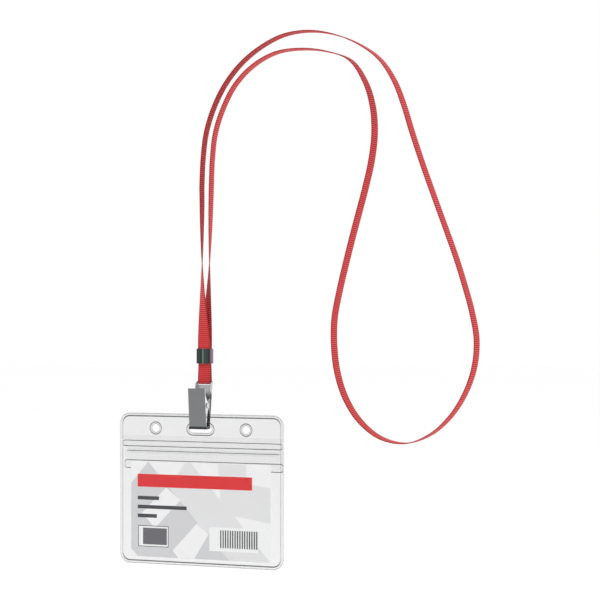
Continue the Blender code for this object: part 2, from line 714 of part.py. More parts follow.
def zip_channel_strip(collection):
    """The channel half of the zip: a base with two lips, on the back sheet."""
    mid = HOLDER_TOP - ZIP_DROP
    inner = ZIP_RIB_HEIGHT / 2 + GAP
    outer = inner + ZIP_LIP
    base = ZIP_BASE_HEIGHT / 2
    back = CHANNEL_FRONT + ZIP_BASE
    outline = [
        (CHANNEL_FRONT, mid - base), (back, mid - base), (back, mid - outer), (CHANNEL_BACK, mid - outer),
        (CHANNEL_BACK, mid - inner), (back, mid - inner), (back, mid + inner), (CHANNEL_BACK, mid + inner),
        (CHANNEL_BACK, mid + outer), (back, mid + outer), (back, mid + base), (CHANNEL_FRONT, mid + base),
    ]
    half = ZIP_LENGTH / 2
    return prism(
        "zip_channel_strip", [outline], HANG_X - half, HANG_X + half, FACING_SIDE, collection,
        (HANG_X, HOLDER_Y, SLOT_TOP_Z),
    )


def zip_rib_strip(collection):
    """The rib half of the zip: a base with one rib that enters the channel, on the flap."""
    mid = HOLDER_TOP - ZIP_DROP
    rib = ZIP_RIB_HEIGHT / 2
    base = ZIP_BASE_HEIGHT / 2
    tip = RIB_FRONT - ZIP_RIB_DEPTH
    outline = [
        (RIB_BACK, mid - base), (RIB_BACK, mid + base), (RIB_FRONT, mid + base), (RIB_FRONT, mid + rib),
        (tip, mid + rib), (tip, mid - rib), (RIB_FRONT, mid - rib), (RIB_FRONT, mid - base),
    ]
    half = ZIP_LENGTH / 2
    y, z = flap_hinge()
    return prism(
        "zip_rib_strip", [outline], HANG_X - half, HANG_X + half, FACING_SIDE, collection, (HANG_X, y, z)
    )


def insert_card(collection):
    """The card in the pocket."""
    centre = (HANG_X + CARD_SHIFT, HOLDER_TOP - CARD_DROP - CARD_HEIGHT / 2)
    return prism(
        "insert_card", [centred_box(centre, CARD_WIDTH, CARD_HEIGHT, CARD_CORNER, 4)],
        CARD_FRONT, CARD_FRONT + CARD_THICKNESS, FACING_FRONT, collection, (centre[0], HOLDER_Y, centre[1]),
    )


# Assembly -------------------------------------------------------------------------------------------
def main():
    """Builds the lanyard badge holder."""
    clear_scene()
    parts = new_collection("lanyard_badge_holder")
    cutters = new_collection("cutters")
    red = finish("woven_red", (0.56, 0.06, 0.06), 0.85)
    steel = finish("dark_plated_steel", (0.20, 0.22, 0.22), 0.25, 1.0)
    nickel = finish("nickel_plated_steel", (0.45, 0.45, 0.45), 0.3, 1.0)
    clear = finish("clear_vinyl", (0.86, 0.86, 0.86), 0.15, 0.0, 0.6)
    paper = finish("card_stock", (0.82, 0.82, 0.82), 0.7)
    built = [
        (neck_strap(parts), red),
        (clip_loop_strap(parts), red),
        (crimp_ferrule(parts), steel),
        (clip_rear_jaw(parts, cutters), nickel),
        (clip_lever(parts, cutters), nickel),
        (clip_pin(parts), steel),
        (clip_spring(parts), steel),
        (pocket_front_sheet(parts, cutters), clear),
        (header_back_strip(parts), clear),
        (pocket_back_sheet(parts, cutters), clear),
        (closing_flap(parts, cutters), clear),
        (zip_channel_strip(parts), clear),
        (zip_rib_strip(parts), clear),
        (insert_card(parts), paper),
    ]
    for piece, coat in built:
        piece.data.materials.clear()
        own = coat.copy()
        own.name = piece.name + "_" + coat.name
        piece.data.materials.append(own)


main()
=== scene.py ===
"""Looks of a lanyard badge holder: a red ribbed neck strap, a crimped ferrule, a small sprung clip and a
clear zip pocket with a printed card. Each piece rides on its own CAD body."""

import logging
import math
from dataclasses import dataclass
from enum import Enum
from typing import Sequence

import bpy
from mathutils import Matrix, Vector


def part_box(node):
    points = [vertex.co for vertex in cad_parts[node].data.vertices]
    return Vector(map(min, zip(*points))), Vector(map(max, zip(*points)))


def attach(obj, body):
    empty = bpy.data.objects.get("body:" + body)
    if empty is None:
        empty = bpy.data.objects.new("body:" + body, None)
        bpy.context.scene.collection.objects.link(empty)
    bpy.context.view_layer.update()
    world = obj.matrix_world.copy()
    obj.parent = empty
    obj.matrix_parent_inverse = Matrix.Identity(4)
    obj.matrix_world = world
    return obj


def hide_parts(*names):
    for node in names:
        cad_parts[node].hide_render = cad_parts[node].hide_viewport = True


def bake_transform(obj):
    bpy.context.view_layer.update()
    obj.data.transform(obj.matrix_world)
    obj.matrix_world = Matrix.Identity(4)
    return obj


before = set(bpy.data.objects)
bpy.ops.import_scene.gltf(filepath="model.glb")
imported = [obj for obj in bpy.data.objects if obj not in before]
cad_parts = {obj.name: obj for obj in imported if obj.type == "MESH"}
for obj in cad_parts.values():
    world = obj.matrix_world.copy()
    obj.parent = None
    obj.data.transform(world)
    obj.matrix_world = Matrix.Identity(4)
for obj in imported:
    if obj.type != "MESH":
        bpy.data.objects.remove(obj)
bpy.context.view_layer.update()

LOG = logging.getLogger("badge_holder")
Outline = list[tuple[float, float]]


# Small helpers --------------------------------------------------------------------------------------
def shade(red: int, green: int, blue: int) -> tuple[float, float, float, float]:
    """Turns a screen colour into the linear one that shaders take.

    Args:
        red: Red from 0 to 255.
        green: Green from 0 to 255.
        blue: Blue from 0 to 255.

    Returns:
        The linear colour with an alpha of 1.
    """
    linear = []
    for value in (red, green, blue):
        part = value / 255
        linear.append(part / 12.92 if part <= 0.04045 else ((part + 0.055) / 1.055) ** 2.4)
    return (linear[0], linear[1], linear[2], 1.0)


def arc(centre: tuple[float, float], radius: float, start: float, end: float, steps: int) -> Outline:
    """Points of an arc, as seen along one axis.

    Args:
        centre: The arc's centre.
        radius: Its radius.
        start: First angle in degrees.
        end: Last angle in degrees.
        steps: Number of straight steps.

    Returns:
        The points, both ends among them.
    """
    points = []
    for step in range(steps + 1):
        angle = math.radians(start + (end - start) * step / steps)
        points.append((centre[0] + radius * math.cos(angle), centre[1] + radius * math.sin(angle)))
    return points


def rounded_box(
    left: float, right: float, bottom: float, top: float, radius: float, steps: int
) -> Outline:
    """The outline of a box with round corners.

    Args:
        left: Lowest X.
        right: Highest X.
        bottom: Lowest Z.
        top: Highest Z.
        radius: Corner radius.
        steps: Steps in each corner.

    Returns:
        The outline, counter-clockwise.
    """
    corners = (
        ((right - radius, top - radius), 0),
        ((left + radius, top - radius), 90),
        ((left + radius, bottom + radius), 180),
        ((right - radius, bottom + radius), 270),
    )
    outline: Outline = []
    for centre, start in corners:
        outline += arc(centre, radius, start, start + 90, steps)
    return outline


def smooth_between(before: Vector, start: Vector, end: Vector, after: Vector, share: float) -> Vector:
    """A point of the Catmull-Rom curve through four points, between the middle two.

    Args:
        before: First point.
        start: Second point, where the share is 0.
        end: Third point, where the share is 1.
        after: Fourth point.
        share: How far along the middle stretch.

    Returns:
        The point.
    """
    first = (end - before) * 0.5
    last = (after - start) * 0.5
    square = share * share
    cube = square * share
    return (
        start * (2 * cube - 3 * square + 1) + first * (cube - 2 * square + share)
        + end * (3 * square - 2 * cube) + last * (cube - square)
    )


def travelled(points: Sequence[Vector]) -> list[float]:
    """The distance along straight lines from the first point to each one."""
    marks = [0.0]
    for start, end in zip(points, points[1:]):
        marks.append(marks[-1] + (end - start).length)
    return marks


def at_even_steps(values: Sequence[Vector], marks: Sequence[float], count: int) -> list[Vector]:
    """Reads values, known at some distances along a line, at even distances.

    Args:
        values: The known values.
        marks: How far along the line each one is.
        count: How many values to give back.

    Returns:
        The even values, both ends among them.
    """
    even = []
    index = 0
    for step in range(count):
        wanted = marks[-1] * step / (count - 1)
        while index < len(marks) - 2 and marks[index + 1] < wanted:
            index += 1
        share = (wanted - marks[index]) / max(marks[index + 1] - marks[index], 1e-12)
        even.append(values[index].lerp(values[index + 1], min(max(share, 0.0), 1.0)))
    return even


def evenly_along(points: Sequence[Vector], count: int, fineness: int = 16) -> list[Vector]:
    """Points at even distances along a smooth curve.

    Args:
        points: The points that the curve passes through.
        count: How many points to give back.
        fineness: Steps between two given points while measuring.

    Returns:
        The even points, both ends among them.
    """
    ends = [points[0] * 2 - points[1], *points, points[-1] * 2 - points[-2]]
    fine = []
    for index in range(len(points) - 1):
        for step in range(fineness):
            fine.append(smooth_between(*ends[index:index + 4], step / fineness))
    fine.append(points[-1])
    return at_even_steps(fine, travelled(fine), count)


def add_object(name: str, data: bpy.types.ID) -> bpy.types.Object:
    """Puts a mesh, curve, lamp or camera in the scene as an object at the origin.

    Args:
        name: The object's name.
        data: What it holds.

    Returns:
        The new object.
    """
    added = bpy.data.objects.new(name, data)
    bpy.context.scene.collection.objects.link(added)
    return added


def evaluated_mesh(source: bpy.types.Object, name: str) -> bpy.types.Mesh:
    """The mesh that an object's curve or modifiers make.

    Args:
        source: The object.
        name: The new mesh's name.

    Returns:
        The mesh.
    """
    bpy.context.view_layer.update()
    graph = bpy.context.evaluated_depsgraph_get()
    mesh = bpy.data.meshes.new_from_object(source.evaluated_get(graph))
    mesh.name = name
    return mesh


def finish_piece(
    piece: bpy.types.Object, body: str, smooth: bool = True, stands_for: str = ""
) -> None:
    """Sets a piece's shading and body, and reports it.

    Args:
        piece: The finished piece.
        body: The CAD body that it rides on.
        smooth: Whether its faces are shaded smooth.
        stands_for: The CAD node that it replaces, if it replaces one.
    """
    if stands_for:
        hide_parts(stands_for)
    piece.data.shade_smooth() if smooth else piece.data.shade_flat()
    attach(piece, body)
    LOG.info("%s rides on %s with %d faces", piece.name, body, len(piece.data.polygons))


def dress(node: str, material: bpy.types.Material) -> bpy.types.Object:
    """Gives a CAD node a better material.

    Args:
        node: The CAD node's name.
        material: Its new material.

    Returns:
        The node's object.
    """
    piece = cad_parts[node]
    for slot in piece.material_slots:
        slot.material = material
    LOG.info("%s wears %s", node, material.name)
    return piece


# Node trees -----------------------------------------------------------------------------------------
class Wiring:
    """A node tree being filled in, with short calls for its nodes and links."""

    def __init__(self, tree: bpy.types.NodeTree) -> None:
        """Keeps the tree to fill."""
        self.tree = tree

    def node(self, kind: str, feeds: dict | None = None, **settings: object) -> bpy.types.Node:
        """Adds a node.

        Args:
            kind: The node's type.
            feeds: Plain or linked values for its inputs, by name or place.
            **settings: Values for the node's own properties.

        Returns:
            The new node.
        """
        made = self.tree.nodes.new(kind)
        for key, value in settings.items():
            setattr(made, key, value)
        for key, value in (feeds or {}).items():
            self.feed(made.inputs[key], value)
        return made

    def feed(self, socket: bpy.types.NodeSocket, value: object) -> None:
        """Links a socket to another one, or sets it to a plain value."""
        if isinstance(value, bpy.types.NodeSocket):
            self.tree.links.new(value, socket)
        else:
            socket.default_value = value

    def math(self, operation: str, *values: object, clamp: bool = False) -> bpy.types.NodeSocket:
        """Adds a Math node.

        Args:
            operation: What it does.
            *values: Its inputs, plain or linked.
            clamp: Whether the result stays from 0 to 1.

        Returns:
            Its output.
        """
        feeds = dict(enumerate(values))
        return self.node("ShaderNodeMath", feeds, operation=operation, use_clamp=clamp).outputs[0]

    def noise(self, vector: bpy.types.NodeSocket, scale: object, detail: float) -> bpy.types.NodeSocket:
        """Adds a Noise Texture.

        Args:
            vector: Where it is read.
            scale: Its scale.
            detail: Its detail.

        Returns:
            Its value, from 0 to 1.
        """
        feeds = {"Vector": vector, "Scale": scale, "Detail": detail}
        return self.node("ShaderNodeTexNoise", feeds).outputs[0]

    def stretch(self, vector: bpy.types.NodeSocket, scale: object) -> bpy.types.NodeSocket:
        """Scales coordinates by different amounts along each axis."""
        return self.node("ShaderNodeVectorMath", {0: vector, 1: scale}, operation="MULTIPLY").outputs[0]

    def split(self, vector: bpy.types.NodeSocket) -> bpy.types.NodeOutputs:
        """Takes coordinates apart into X, Y and Z."""
        return self.node("ShaderNodeSeparateXYZ", {0: vector}).outputs

    def span(self, value: bpy.types.NodeSocket, low: float, high: float) -> bpy.types.NodeSocket:
        """Reads how far a value is on its way from low to high, from 0 to 1."""
        return self.node("ShaderNodeMapRange", {0: value, 1: low, 2: high}).outputs[0]

    def blend(self, share: object, first: object, second: object) -> bpy.types.NodeSocket:
        """Mixes two colours.

        Args:
            share: How much of the second.
            first: The first colour.
            second: The second colour.

        Returns:
            The mixed colour.
        """
        return self.node("ShaderNodeMix", {0: share, 6: first, 7: second}, data_type="RGBA").outputs[2]

    def ramp(
        self, share: bpy.types.NodeSocket, stops: Sequence[tuple[float, tuple]]
    ) -> bpy.types.NodeSocket:
        """Adds a Color Ramp.

        Args:
            share: Where it is read.
            stops: Positions and colours.

        Returns:
            Its colour.
        """
        made = self.node("ShaderNodeValToRGB", {0: share})
        elements = made.color_ramp.elements
        while len(elements) < len(stops):
            elements.new(0.5)
        for element, (position, colour) in zip(elements, stops):
            element.position = position
            element.color = colour
        return made.outputs[0]

    def bump(self, height: bpy.types.NodeSocket, strength: float, distance: float) -> bpy.types.NodeSocket:
        """Adds a Bump node.

        Args:
            height: The height that it reads.
            strength: Its strength.
            distance: Its distance in metres.

        Returns:
            The bent normal.
        """
        feeds = {"Height": height, "Strength": strength, "Distance": distance}
        return self.node("ShaderNodeBump", feeds).outputs[0]


class SurfaceMarks(Wiring):
    """The shader group that the finishes share: fine marks stretched along one way, and a slow mottle."""

    name: str = "surface_marks"

    def __init__(self) -> None:
        """Makes the group, with its place and its two scales as inputs."""
        super().__init__(bpy.data.node_groups.new(self.name, "ShaderNodeTree"))
        face = self.tree.interface
        for label in ("Marks", "Mottle"):
            face.new_socket(label, in_out="OUTPUT", socket_type="NodeSocketFloat")
        for label, kind in (("Place", "Vector"), ("Marks Scale", "Vector"), ("Mottle Scale", "Float")):
            face.new_socket(label, in_out="INPUT", socket_type="NodeSocket" + kind)
        given = self.node("NodeGroupInput").outputs
        stretched = self.stretch(given["Place"], given["Marks Scale"])
        self.node("NodeGroupOutput", {
            "Marks": self.noise(stretched, 1.0, 3.0),
            "Mottle": self.noise(given["Place"], given["Mottle Scale"], 2.0),
        })


class Paint(Wiring):
    """A new material with a Principled shader, filled in by a finish."""

    def __init__(self, name: str) -> None:
        """Makes the material, its output and its shader."""
        self.material = bpy.data.materials.new(name)
        self.material.use_nodes = True
        super().__init__(self.material.node_tree)
        self.tree.nodes.clear()
        self.shader = self.node("ShaderNodeBsdfPrincipled")
        self.node("ShaderNodeOutputMaterial", {0: self.shader.outputs[0]})
        self.place = self.node("ShaderNodeTexCoord").outputs["Object"]

    def marks(
        self, fine: tuple[float, float, float], slow: float
    ) -> tuple[bpy.types.NodeSocket, bpy.types.NodeSocket]:
        """Places the shared group of marks with this material's own scales.

        Args:
            fine: Scale of the fine marks along each axis.
            slow: Scale of the mottle.

        Returns:
            The marks and the mottle, each from 0 to 1.
        """
        shared = bpy.data.node_groups.get(SurfaceMarks.name) or SurfaceMarks().tree
        feeds = {"Place": self.place, "Marks Scale": fine, "Mottle Scale": slow}
        placed = self.node("ShaderNodeGroup", feeds, node_tree=shared)
        return placed.outputs["Marks"], placed.outputs["Mottle"]

    def set(self, **values: object) -> None:
        """Sets the shader's sockets, named with underscores, to plain values or links."""
        for key, value in values.items():
            self.feed(self.shader.inputs[key.replace("_", " ")], value)


class PathTree(Wiring):
    """A Geometry Nodes tree with named inputs, which ends in Realize Instances and Set Material."""

    def __init__(self, name: str, inputs: Sequence[tuple[str, str]]) -> None:
        """Makes the tree.

        Args:
            name: The tree's name.
            inputs: Names and socket types of the inputs after the geometry.
        """
        super().__init__(bpy.data.node_groups.new(name, "GeometryNodeTree"))
        face = self.tree.interface
        face.new_socket("Geometry", in_out="OUTPUT", socket_type="NodeSocketGeometry")
        face.new_socket("Geometry", in_out="INPUT", socket_type="NodeSocketGeometry")
        for label, kind in inputs:
            face.new_socket(label, in_out="INPUT", socket_type=kind)
        face.new_socket("Material", in_out="INPUT", socket_type="NodeSocketMaterial")
        self.given = self.node("NodeGroupInput").outputs

    def close(self, geometry: bpy.types.NodeSocket) -> None:
        """Ends the tree with the geometry that it has made."""
        real = self.node("GeometryNodeRealizeInstances", {0: geometry}).outputs[0]
        feeds = {"Geometry": real, "Material": self.given["Material"]}
        self.node("NodeGroupOutput", {0: self.node("GeometryNodeSetMaterial", feeds).outputs[0]})

    def grow(
        self, name: str, mesh: bpy.types.Mesh, material: bpy.types.Material, **sizes: float
    ) -> bpy.types.Object:
        """Runs the tree on a mesh and keeps the result as a plain mesh.

        Args:
            name: The new piece's name.
            mesh: The mesh that it starts from.
            material: The material that it wears.
            **sizes: Values of the tree's inputs, named with underscores.

        Returns:
            The piece, with no modifier left on it.
        """
        piece = add_object(name, mesh)
        modifier = piece.modifiers.new("Grow", "NODES")
        modifier.node_group = self.tree
        values = {key.replace("_", " "): value for key, value in sizes.items()}
        values["Material"] = material
        for item in self.tree.interface.items_tree:
            if item.in_out == "INPUT" and item.name in values:
                modifier[item.identifier] = values[item.name]
        result = evaluated_mesh(piece, name)
        piece.modifiers.clear()
        piece.data = result
        return piece


# Finishes -------------------------------------------------------------------------------------------
@dataclass(frozen=True)
class RibbedWeave:
    """Red cross-ribbed ribbon: a painted highlight on the ribs and painted shade between them, fine threads
    along it, and darker rib dips near both edges.
    """

    name: str = "red_ribbed_ribbon"
    ridge_highlight: tuple = shade(240, 92, 94)
    groove_shade: tuple = shade(126, 12, 18)
    pitch: float = 0.0012
    thread: float = 0.00036
    half_width: float = 0.0039

    def material(self) -> bpy.types.Material:
        """Builds the material, which reads the ribbon's own map of metres across and along it."""
        paint = Paint(self.name)
        weave = paint.node("ShaderNodeUVMap", uv_map="weave").outputs[0]
        across, along = paint.split(weave)[:2]
        turns = paint.math("MULTIPLY", along, math.tau / self.pitch)
        rib = paint.math("MULTIPLY_ADD", paint.math("COSINE", turns), 0.5, 0.5)
        yarns = paint.math("MULTIPLY", across, math.tau / self.thread)
        yarn = paint.math("MULTIPLY_ADD", paint.math("SINE", yarns), 0.5, 0.5)
        fibres = paint.noise(paint.stretch(weave, (3000.0, 9000.0, 1.0)), 1.0, 2.0)
        patches = paint.noise(paint.place, 140.0, 2.0)
        # Painted light and shade of the ribs: painted highlight on the ridges, painted shade in the grooves.
        # The fibres and yarns are the weave's own texture.
        lit = paint.math("ADD", paint.math("MULTIPLY", rib, 0.72), paint.math("MULTIPLY", fibres, 0.46))
        lit = paint.math("SUBTRACT", lit, paint.math("MULTIPLY", yarn, 0.10), clamp=True)
        colour = paint.ramp(lit, [(0.14, self.groove_shade), (0.50, shade(196, 40, 42)), (0.92, self.ridge_highlight)])
        lit_and_worn = paint.blend(paint.math("MULTIPLY", patches, 0.22), colour, shade(168, 34, 38))
        outward = paint.math("DIVIDE", paint.math("ABSOLUTE", across), self.half_width)
        dips = paint.math("SUBTRACT", 1.05, rib)
        selvedge = paint.math("MULTIPLY", paint.math("POWER", outward, 9.0), dips, clamp=True)
        lit_and_worn = paint.blend(selvedge, lit_and_worn, shade(72, 6, 10))
        height = paint.math("ADD", paint.math("MULTIPLY", fibres, 0.6), paint.math("MULTIPLY", yarn, 0.5))
        paint.set(
            Base_Color=lit_and_worn, Roughness=paint.math("MULTIPLY_ADD", fibres, 0.2, 0.62),
            Normal=paint.bump(height, 0.5, 0.00012), Sheen_Weight=0.12, Sheen_Roughness=0.4,
            Specular_IOR_Level=0.16,
        )
        return paint.material


@dataclass(frozen=True)
class PlatedSteel:
    """Thin nickel plating: drawn lines, faint clouds, a colour that darkens towards the bottom (painted
    shade on the lever's lip and on the rear jaw behind the lever), and a painted highlight on the sides that
    face along X.
    """

    name: str
    low: tuple
    high: tuple
    low_z: float = -0.230
    high_z: float = -0.196
    roughness: float = 0.30
    side_highlight: tuple = shade(238, 239, 241)

    def material(self) -> bpy.types.Material:
        """Builds the material."""
        paint = Paint(self.name)
        # Darker towards the bottom, from high_z down to low_z: painted shade on the lever's down-facing lip
        # and on the rear jaw behind the lever. On the pin and the spring it only darkens towards the bottom.
        height = paint.span(paint.split(paint.place)[2], self.low_z, self.high_z)
        drawn, clouds = paint.marks((9000.0, 9000.0, 350.0), 260.0)
        colour = paint.blend(paint.math("MULTIPLY", clouds, 0.16), self.high, shade(110, 112, 114))
        facing = paint.split(paint.node("ShaderNodeTexCoord").outputs["Normal"])
        # Painted highlight: the faces that point along X, the plates' narrow sides, turn pale.
        cut = paint.math("MULTIPLY_ADD", paint.math("ABSOLUTE", facing[0]), 4.0, -2.6, clamp=True)
        colour = paint.blend(height, self.low, paint.blend(cut, colour, self.side_highlight))
        paint.set(
            Base_Color=colour, Roughness=paint.math("MULTIPLY_ADD", drawn, 0.12, self.roughness - 0.08),
            Metallic=1.0, Normal=paint.bump(drawn, 0.08, 0.00005),
        )
        return paint.material


@dataclass(frozen=True)
class DarkPlate:
    """The ferrule's dark green-grey plating, with painted reflections: dark and bright bands across its
    front and a violet painted reflection at its side.
    """

    name: str = "ferrule_plate"
    left: float = -0.0713
    right: float = -0.0615

    def material(self) -> bpy.types.Material:
        """Builds the material."""
        paint = Paint(self.name)
        across = paint.span(paint.split(paint.place)[0], self.left, self.right)
        wander = paint.noise(paint.stretch(paint.place, (300.0, 300.0, 60.0)), 1.0, 2.0)
        across = paint.math("ADD", across, paint.math("MULTIPLY_ADD", wander, 0.06, -0.03), clamp=True)
        # Painted reflections: light and dark bands across X on the front, and a violet band on the side
        # face.
        colour = paint.ramp(across, [
            (0.0, shade(70, 80, 76)), (0.28, shade(70, 82, 77)), (0.36, shade(32, 56, 48)),
            (0.46, shade(134, 152, 146)), (0.54, shade(78, 90, 87)), (0.80, shade(72, 84, 81)),
            (0.87, shade(30, 52, 46)), (0.95, shade(130, 98, 122)),
        ])
        scratch, film = paint.marks((6000.0, 6000.0, 500.0), 420.0)
        colour = paint.blend(paint.math("MULTIPLY", film, 0.12), colour, shade(60, 74, 70))
        paint.set(
            Base_Color=colour, Roughness=paint.math("MULTIPLY_ADD", scratch, 0.14, 0.16), Metallic=1.0,
            Normal=paint.bump(scratch, 0.06, 0.00005),
        )
        return paint.material


@dataclass(frozen=True)
class ClearVinyl:
    """Clear soft vinyl: nearly colourless film with a faint haze, slow ripples and fine rub marks."""

    name: str
    tint: tuple = shade(112, 114, 116)
    haze: float = 0.125
    edge: float = 0.40
    roughness: float = 0.16

    def material(self) -> bpy.types.Material:
        """Builds the material. The film lets less through where it is seen edge on."""
        paint = Paint(self.name)
        ripples = paint.noise(paint.stretch(paint.place, (34.0, 34.0, 60.0)), 1.0, 2.0)
        rubs, bloom = paint.marks((900.0, 900.0, 5000.0), 90.0)
        rim = paint.node("ShaderNodeLayerWeight", {"Blend": 0.35})
        facing = paint.math("POWER", rim.outputs["Facing"], 2.5)
        amount = paint.math("MULTIPLY_ADD", facing, self.edge - self.haze, self.haze)
        uneven = paint.math("MULTIPLY_ADD", paint.math("ADD", rubs, bloom), 0.02, -0.02)
        amount = paint.math("ADD", amount, uneven, clamp=True)
        paint.set(
            Base_Color=paint.blend(ripples, self.tint, shade(124, 126, 128)), Alpha=amount,
            Roughness=paint.math("MULTIPLY_ADD", rubs, 0.16, self.roughness - 0.06),
            Normal=paint.bump(ripples, 0.35, 0.0009), Coat_Weight=0.6, Coat_Roughness=0.08,
        )
        return paint.material


@dataclass(frozen=True)
class WeldedVinyl:
    """A weld line in the vinyl: a grained line whose darkness is painted shade of its groove, darker where
    it runs level as painted shade of its up- and down-facing slopes, clearer where it runs upright.
    """

    name: str
    colour: tuple = shade(62, 64, 67)
    level: float = 0.92
    upright: float = 0.25

    def material(self) -> bpy.types.Material:
        """Builds the material."""
        paint = Paint(self.name)
        grain = paint.marks((2600.0, 2600.0, 2600.0), 200.0)[0]
        # Painted shade: level lines are drawn more opaque than upright ones.
        run = paint.node("ShaderNodeAttribute", attribute_name="level").outputs["Fac"]
        amount = paint.math("MULTIPLY_ADD", run, self.level - self.upright, self.upright)
        paint.set(
            Base_Color=paint.blend(paint.math("MULTIPLY", grain, 0.4), self.colour, shade(120, 122, 125)),
            Alpha=paint.math("MULTIPLY", amount, paint.math("MULTIPLY_ADD", grain, 0.3, 0.85), clamp=True),
            Roughness=paint.math("MULTIPLY_ADD", grain, 0.2, 0.15), Normal=paint.bump(grain, 0.2, 0.0001),
            Coat_Weight=0.4, Coat_Roughness=0.1,
        )
        return paint.material


@dataclass(frozen=True)
class CardStock:
    """Coated card or ink on it, in one colour with the fibres of the board just showing."""

    name: str
    colour: tuple
    roughness: float = 0.5

    def material(self) -> bpy.types.Material:
        """Builds the material."""
        paint = Paint(self.name)
        fibres, mottle = paint.marks((2400.0, 2400.0, 900.0), 300.0)
        dimmer = tuple(part * 0.9 for part in self.colour[:3]) + (1.0,)
        paint.set(
            Base_Color=paint.blend(paint.math("MULTIPLY", mottle, 0.5), self.colour, dimmer),
            Roughness=paint.math("MULTIPLY_ADD", fibres, 0.15, self.roughness),
            Normal=paint.bump(fibres, 0.12, 0.00004), Specular_IOR_Level=0.4,
        )
        return paint.material


# Strap ----------------------------------------------------------------------------------------------
@dataclass
class Ribbon:
    """Flat ribbed ribbon along a line, built as one closed skin with its ribs raised by a node tree."""

    width: float = 0.008
    thickness: float = 0.0006
    rib_pitch: float = 0.0012
    rib_relief: float = 0.00011
    edge_relief: float = 0.00014
    sunk_share: float = 0.6  # of each relief, by which the plain skin lies inside the ribbon's size
    stops: tuple = (-1.0, -0.93, -0.5, 0.0, 0.5, 0.93, 1.0)  # columns across half the width
    edge_share: float = 0.45  # of the thickness, left at the outermost columns
    steps_per_rib: int = 4
    line_fineness: int = 40
    gap: float = 0.0003
    hang_x: float = -0.0664
    ferrule_top: float = -0.1774
    ferrule_height: float = 0.0090
    end_inset: float = 0.0010

    def rib_tree(self) -> PathTree:
        """Builds the tree that raises the ribs.

        Returns:
            The tree, which moves each point out by the height of the rib wave there.
        """
        tree = PathTree("raise_ribs", [("Rib Pitch", "NodeSocketFloat"), ("Rib Relief", "NodeSocketFloat")])
        along, lift = (
            tree.node("GeometryNodeInputNamedAttribute", {"Name": label}, data_type=kind)
            for label, kind in (("along", "FLOAT"), ("lift", "FLOAT_VECTOR"))
        )
        ribs = tree.math("DIVIDE", along.outputs[0], tree.given["Rib Pitch"])
        turns = tree.math("MULTIPLY", ribs, math.tau)
        wave = tree.math("MULTIPLY_ADD", tree.math("COSINE", turns), 0.5, 0.5)
        uneven = tree.noise(tree.node("GeometryNodeInputPosition").outputs[0], 700.0, 1.0)
        height = tree.math("MULTIPLY", wave, tree.math("MULTIPLY_ADD", uneven, 0.5, 0.75))
        height = tree.math("MULTIPLY", height, tree.given["Rib Relief"])
        move = tree.node("ShaderNodeVectorMath", {0: lift.outputs[0], "Scale": height}, operation="SCALE")
        feeds = {"Geometry": tree.given["Geometry"], "Offset": move.outputs[0]}
        tree.close(tree.node("GeometryNodeSetPosition", feeds).outputs[0])
        return tree

    def skin(self, name: str, centres: Sequence[Vector], widths: Sequence[Vector]) -> bpy.types.Mesh:
        """Builds the ribbon's closed skin with its attributes.

        Args:
            name: The mesh's name.
            centres: Points along its middle line.
            widths: The direction of its width at each.

        Returns:
            The mesh, with its "along", "lift" and "weave" data.
        """
        half = self.width / 2 - self.edge_relief * self.sunk_share
        thin = self.thickness / 2 - self.rib_relief * self.sunk_share
        ring = [(stop, 1.0) for stop in self.stops] + [(stop, -1.0) for stop in reversed(self.stops)]
        points, lifts, alongs, maps = [], [], [], []
        travelled = 0.0
        for index, centre in enumerate(centres):
            ahead = centres[min(index + 1, len(centres) - 1)]
            behind = centres[max(index - 1, 0)]
            if index:
                travelled += (centre - behind).length
            across = widths[index].normalized()
            out = (ahead - behind).normalized().cross(across).normalized()
            for stop, side in ring:
                edge = abs(stop) == 1.0
                rise = side * thin * (self.edge_share if edge else 1.0)
                points.append(centre + across * (half * stop) + out * rise)
                sideways = across * math.copysign(self.edge_relief / self.rib_relief, stop)
                lifts.append(sideways if edge else out * side)
                alongs.append(travelled)
                maps.append((half * stop, travelled))
        size = len(ring)
        faces = [tuple(reversed(range(size)))]
        for first in range(0, (len(centres) - 1) * size, size):
            for column in range(size):
                beside = first + (column + 1) % size
                faces.append((first + column, beside, beside + size, first + column + size))
        faces.append(tuple(range((len(centres) - 1) * size, len(centres) * size)))
        mesh = bpy.data.meshes.new(name)
        mesh.from_pydata(points, [], faces)
        mesh.attributes.new("along", "FLOAT", "POINT").data.foreach_set("value", alongs)
        flat = [part for vector in lifts for part in vector]
        mesh.attributes.new("lift", "FLOAT_VECTOR", "POINT").data.foreach_set("vector", flat)
        layer = mesh.uv_layers.new(name="weave")
        for loop in mesh.loops:
            layer.data[loop.index].uv = maps[loop.vertex_index]
        return mesh

    def along(
        self, centres: Sequence[Vector], widths: Sequence[Vector]
    ) -> tuple[list[Vector], list[Vector]]:
        """Stations at an even part of a rib along a smooth line through the centres.

        Args:
            centres: Points that the ribbon's middle passes through.
            widths: The direction of its width at each.

        Returns:
            The stations and the direction of the width at each.
        """
        marks = travelled(centres)
        count = round(marks[-1] / self.rib_pitch * self.steps_per_rib) + 1
        return evenly_along(centres, count, self.line_fineness), at_even_steps(widths, marks, count)

    def weave(
        self, name: str, centres: Sequence[Vector], widths: Sequence[Vector], tree: PathTree,
        material: bpy.types.Material,
    ) -> tuple[bpy.types.Object, list[Vector]]:
        """Makes the ribbed piece along a line.

        Args:
            name: The piece's name.
            centres: Points that the ribbon's middle passes through.
            widths: The direction of its width at each.
            tree: The tree that raises the ribs.
            material: The ribbon's material.

        Returns:
            The piece and its stations.
        """
        stations, turned = self.along(centres, widths)
        mesh = self.skin(name, stations, turned)
        piece = tree.grow(name, mesh, material, Rib_Pitch=self.rib_pitch, Rib_Relief=self.rib_relief)
        return piece, stations


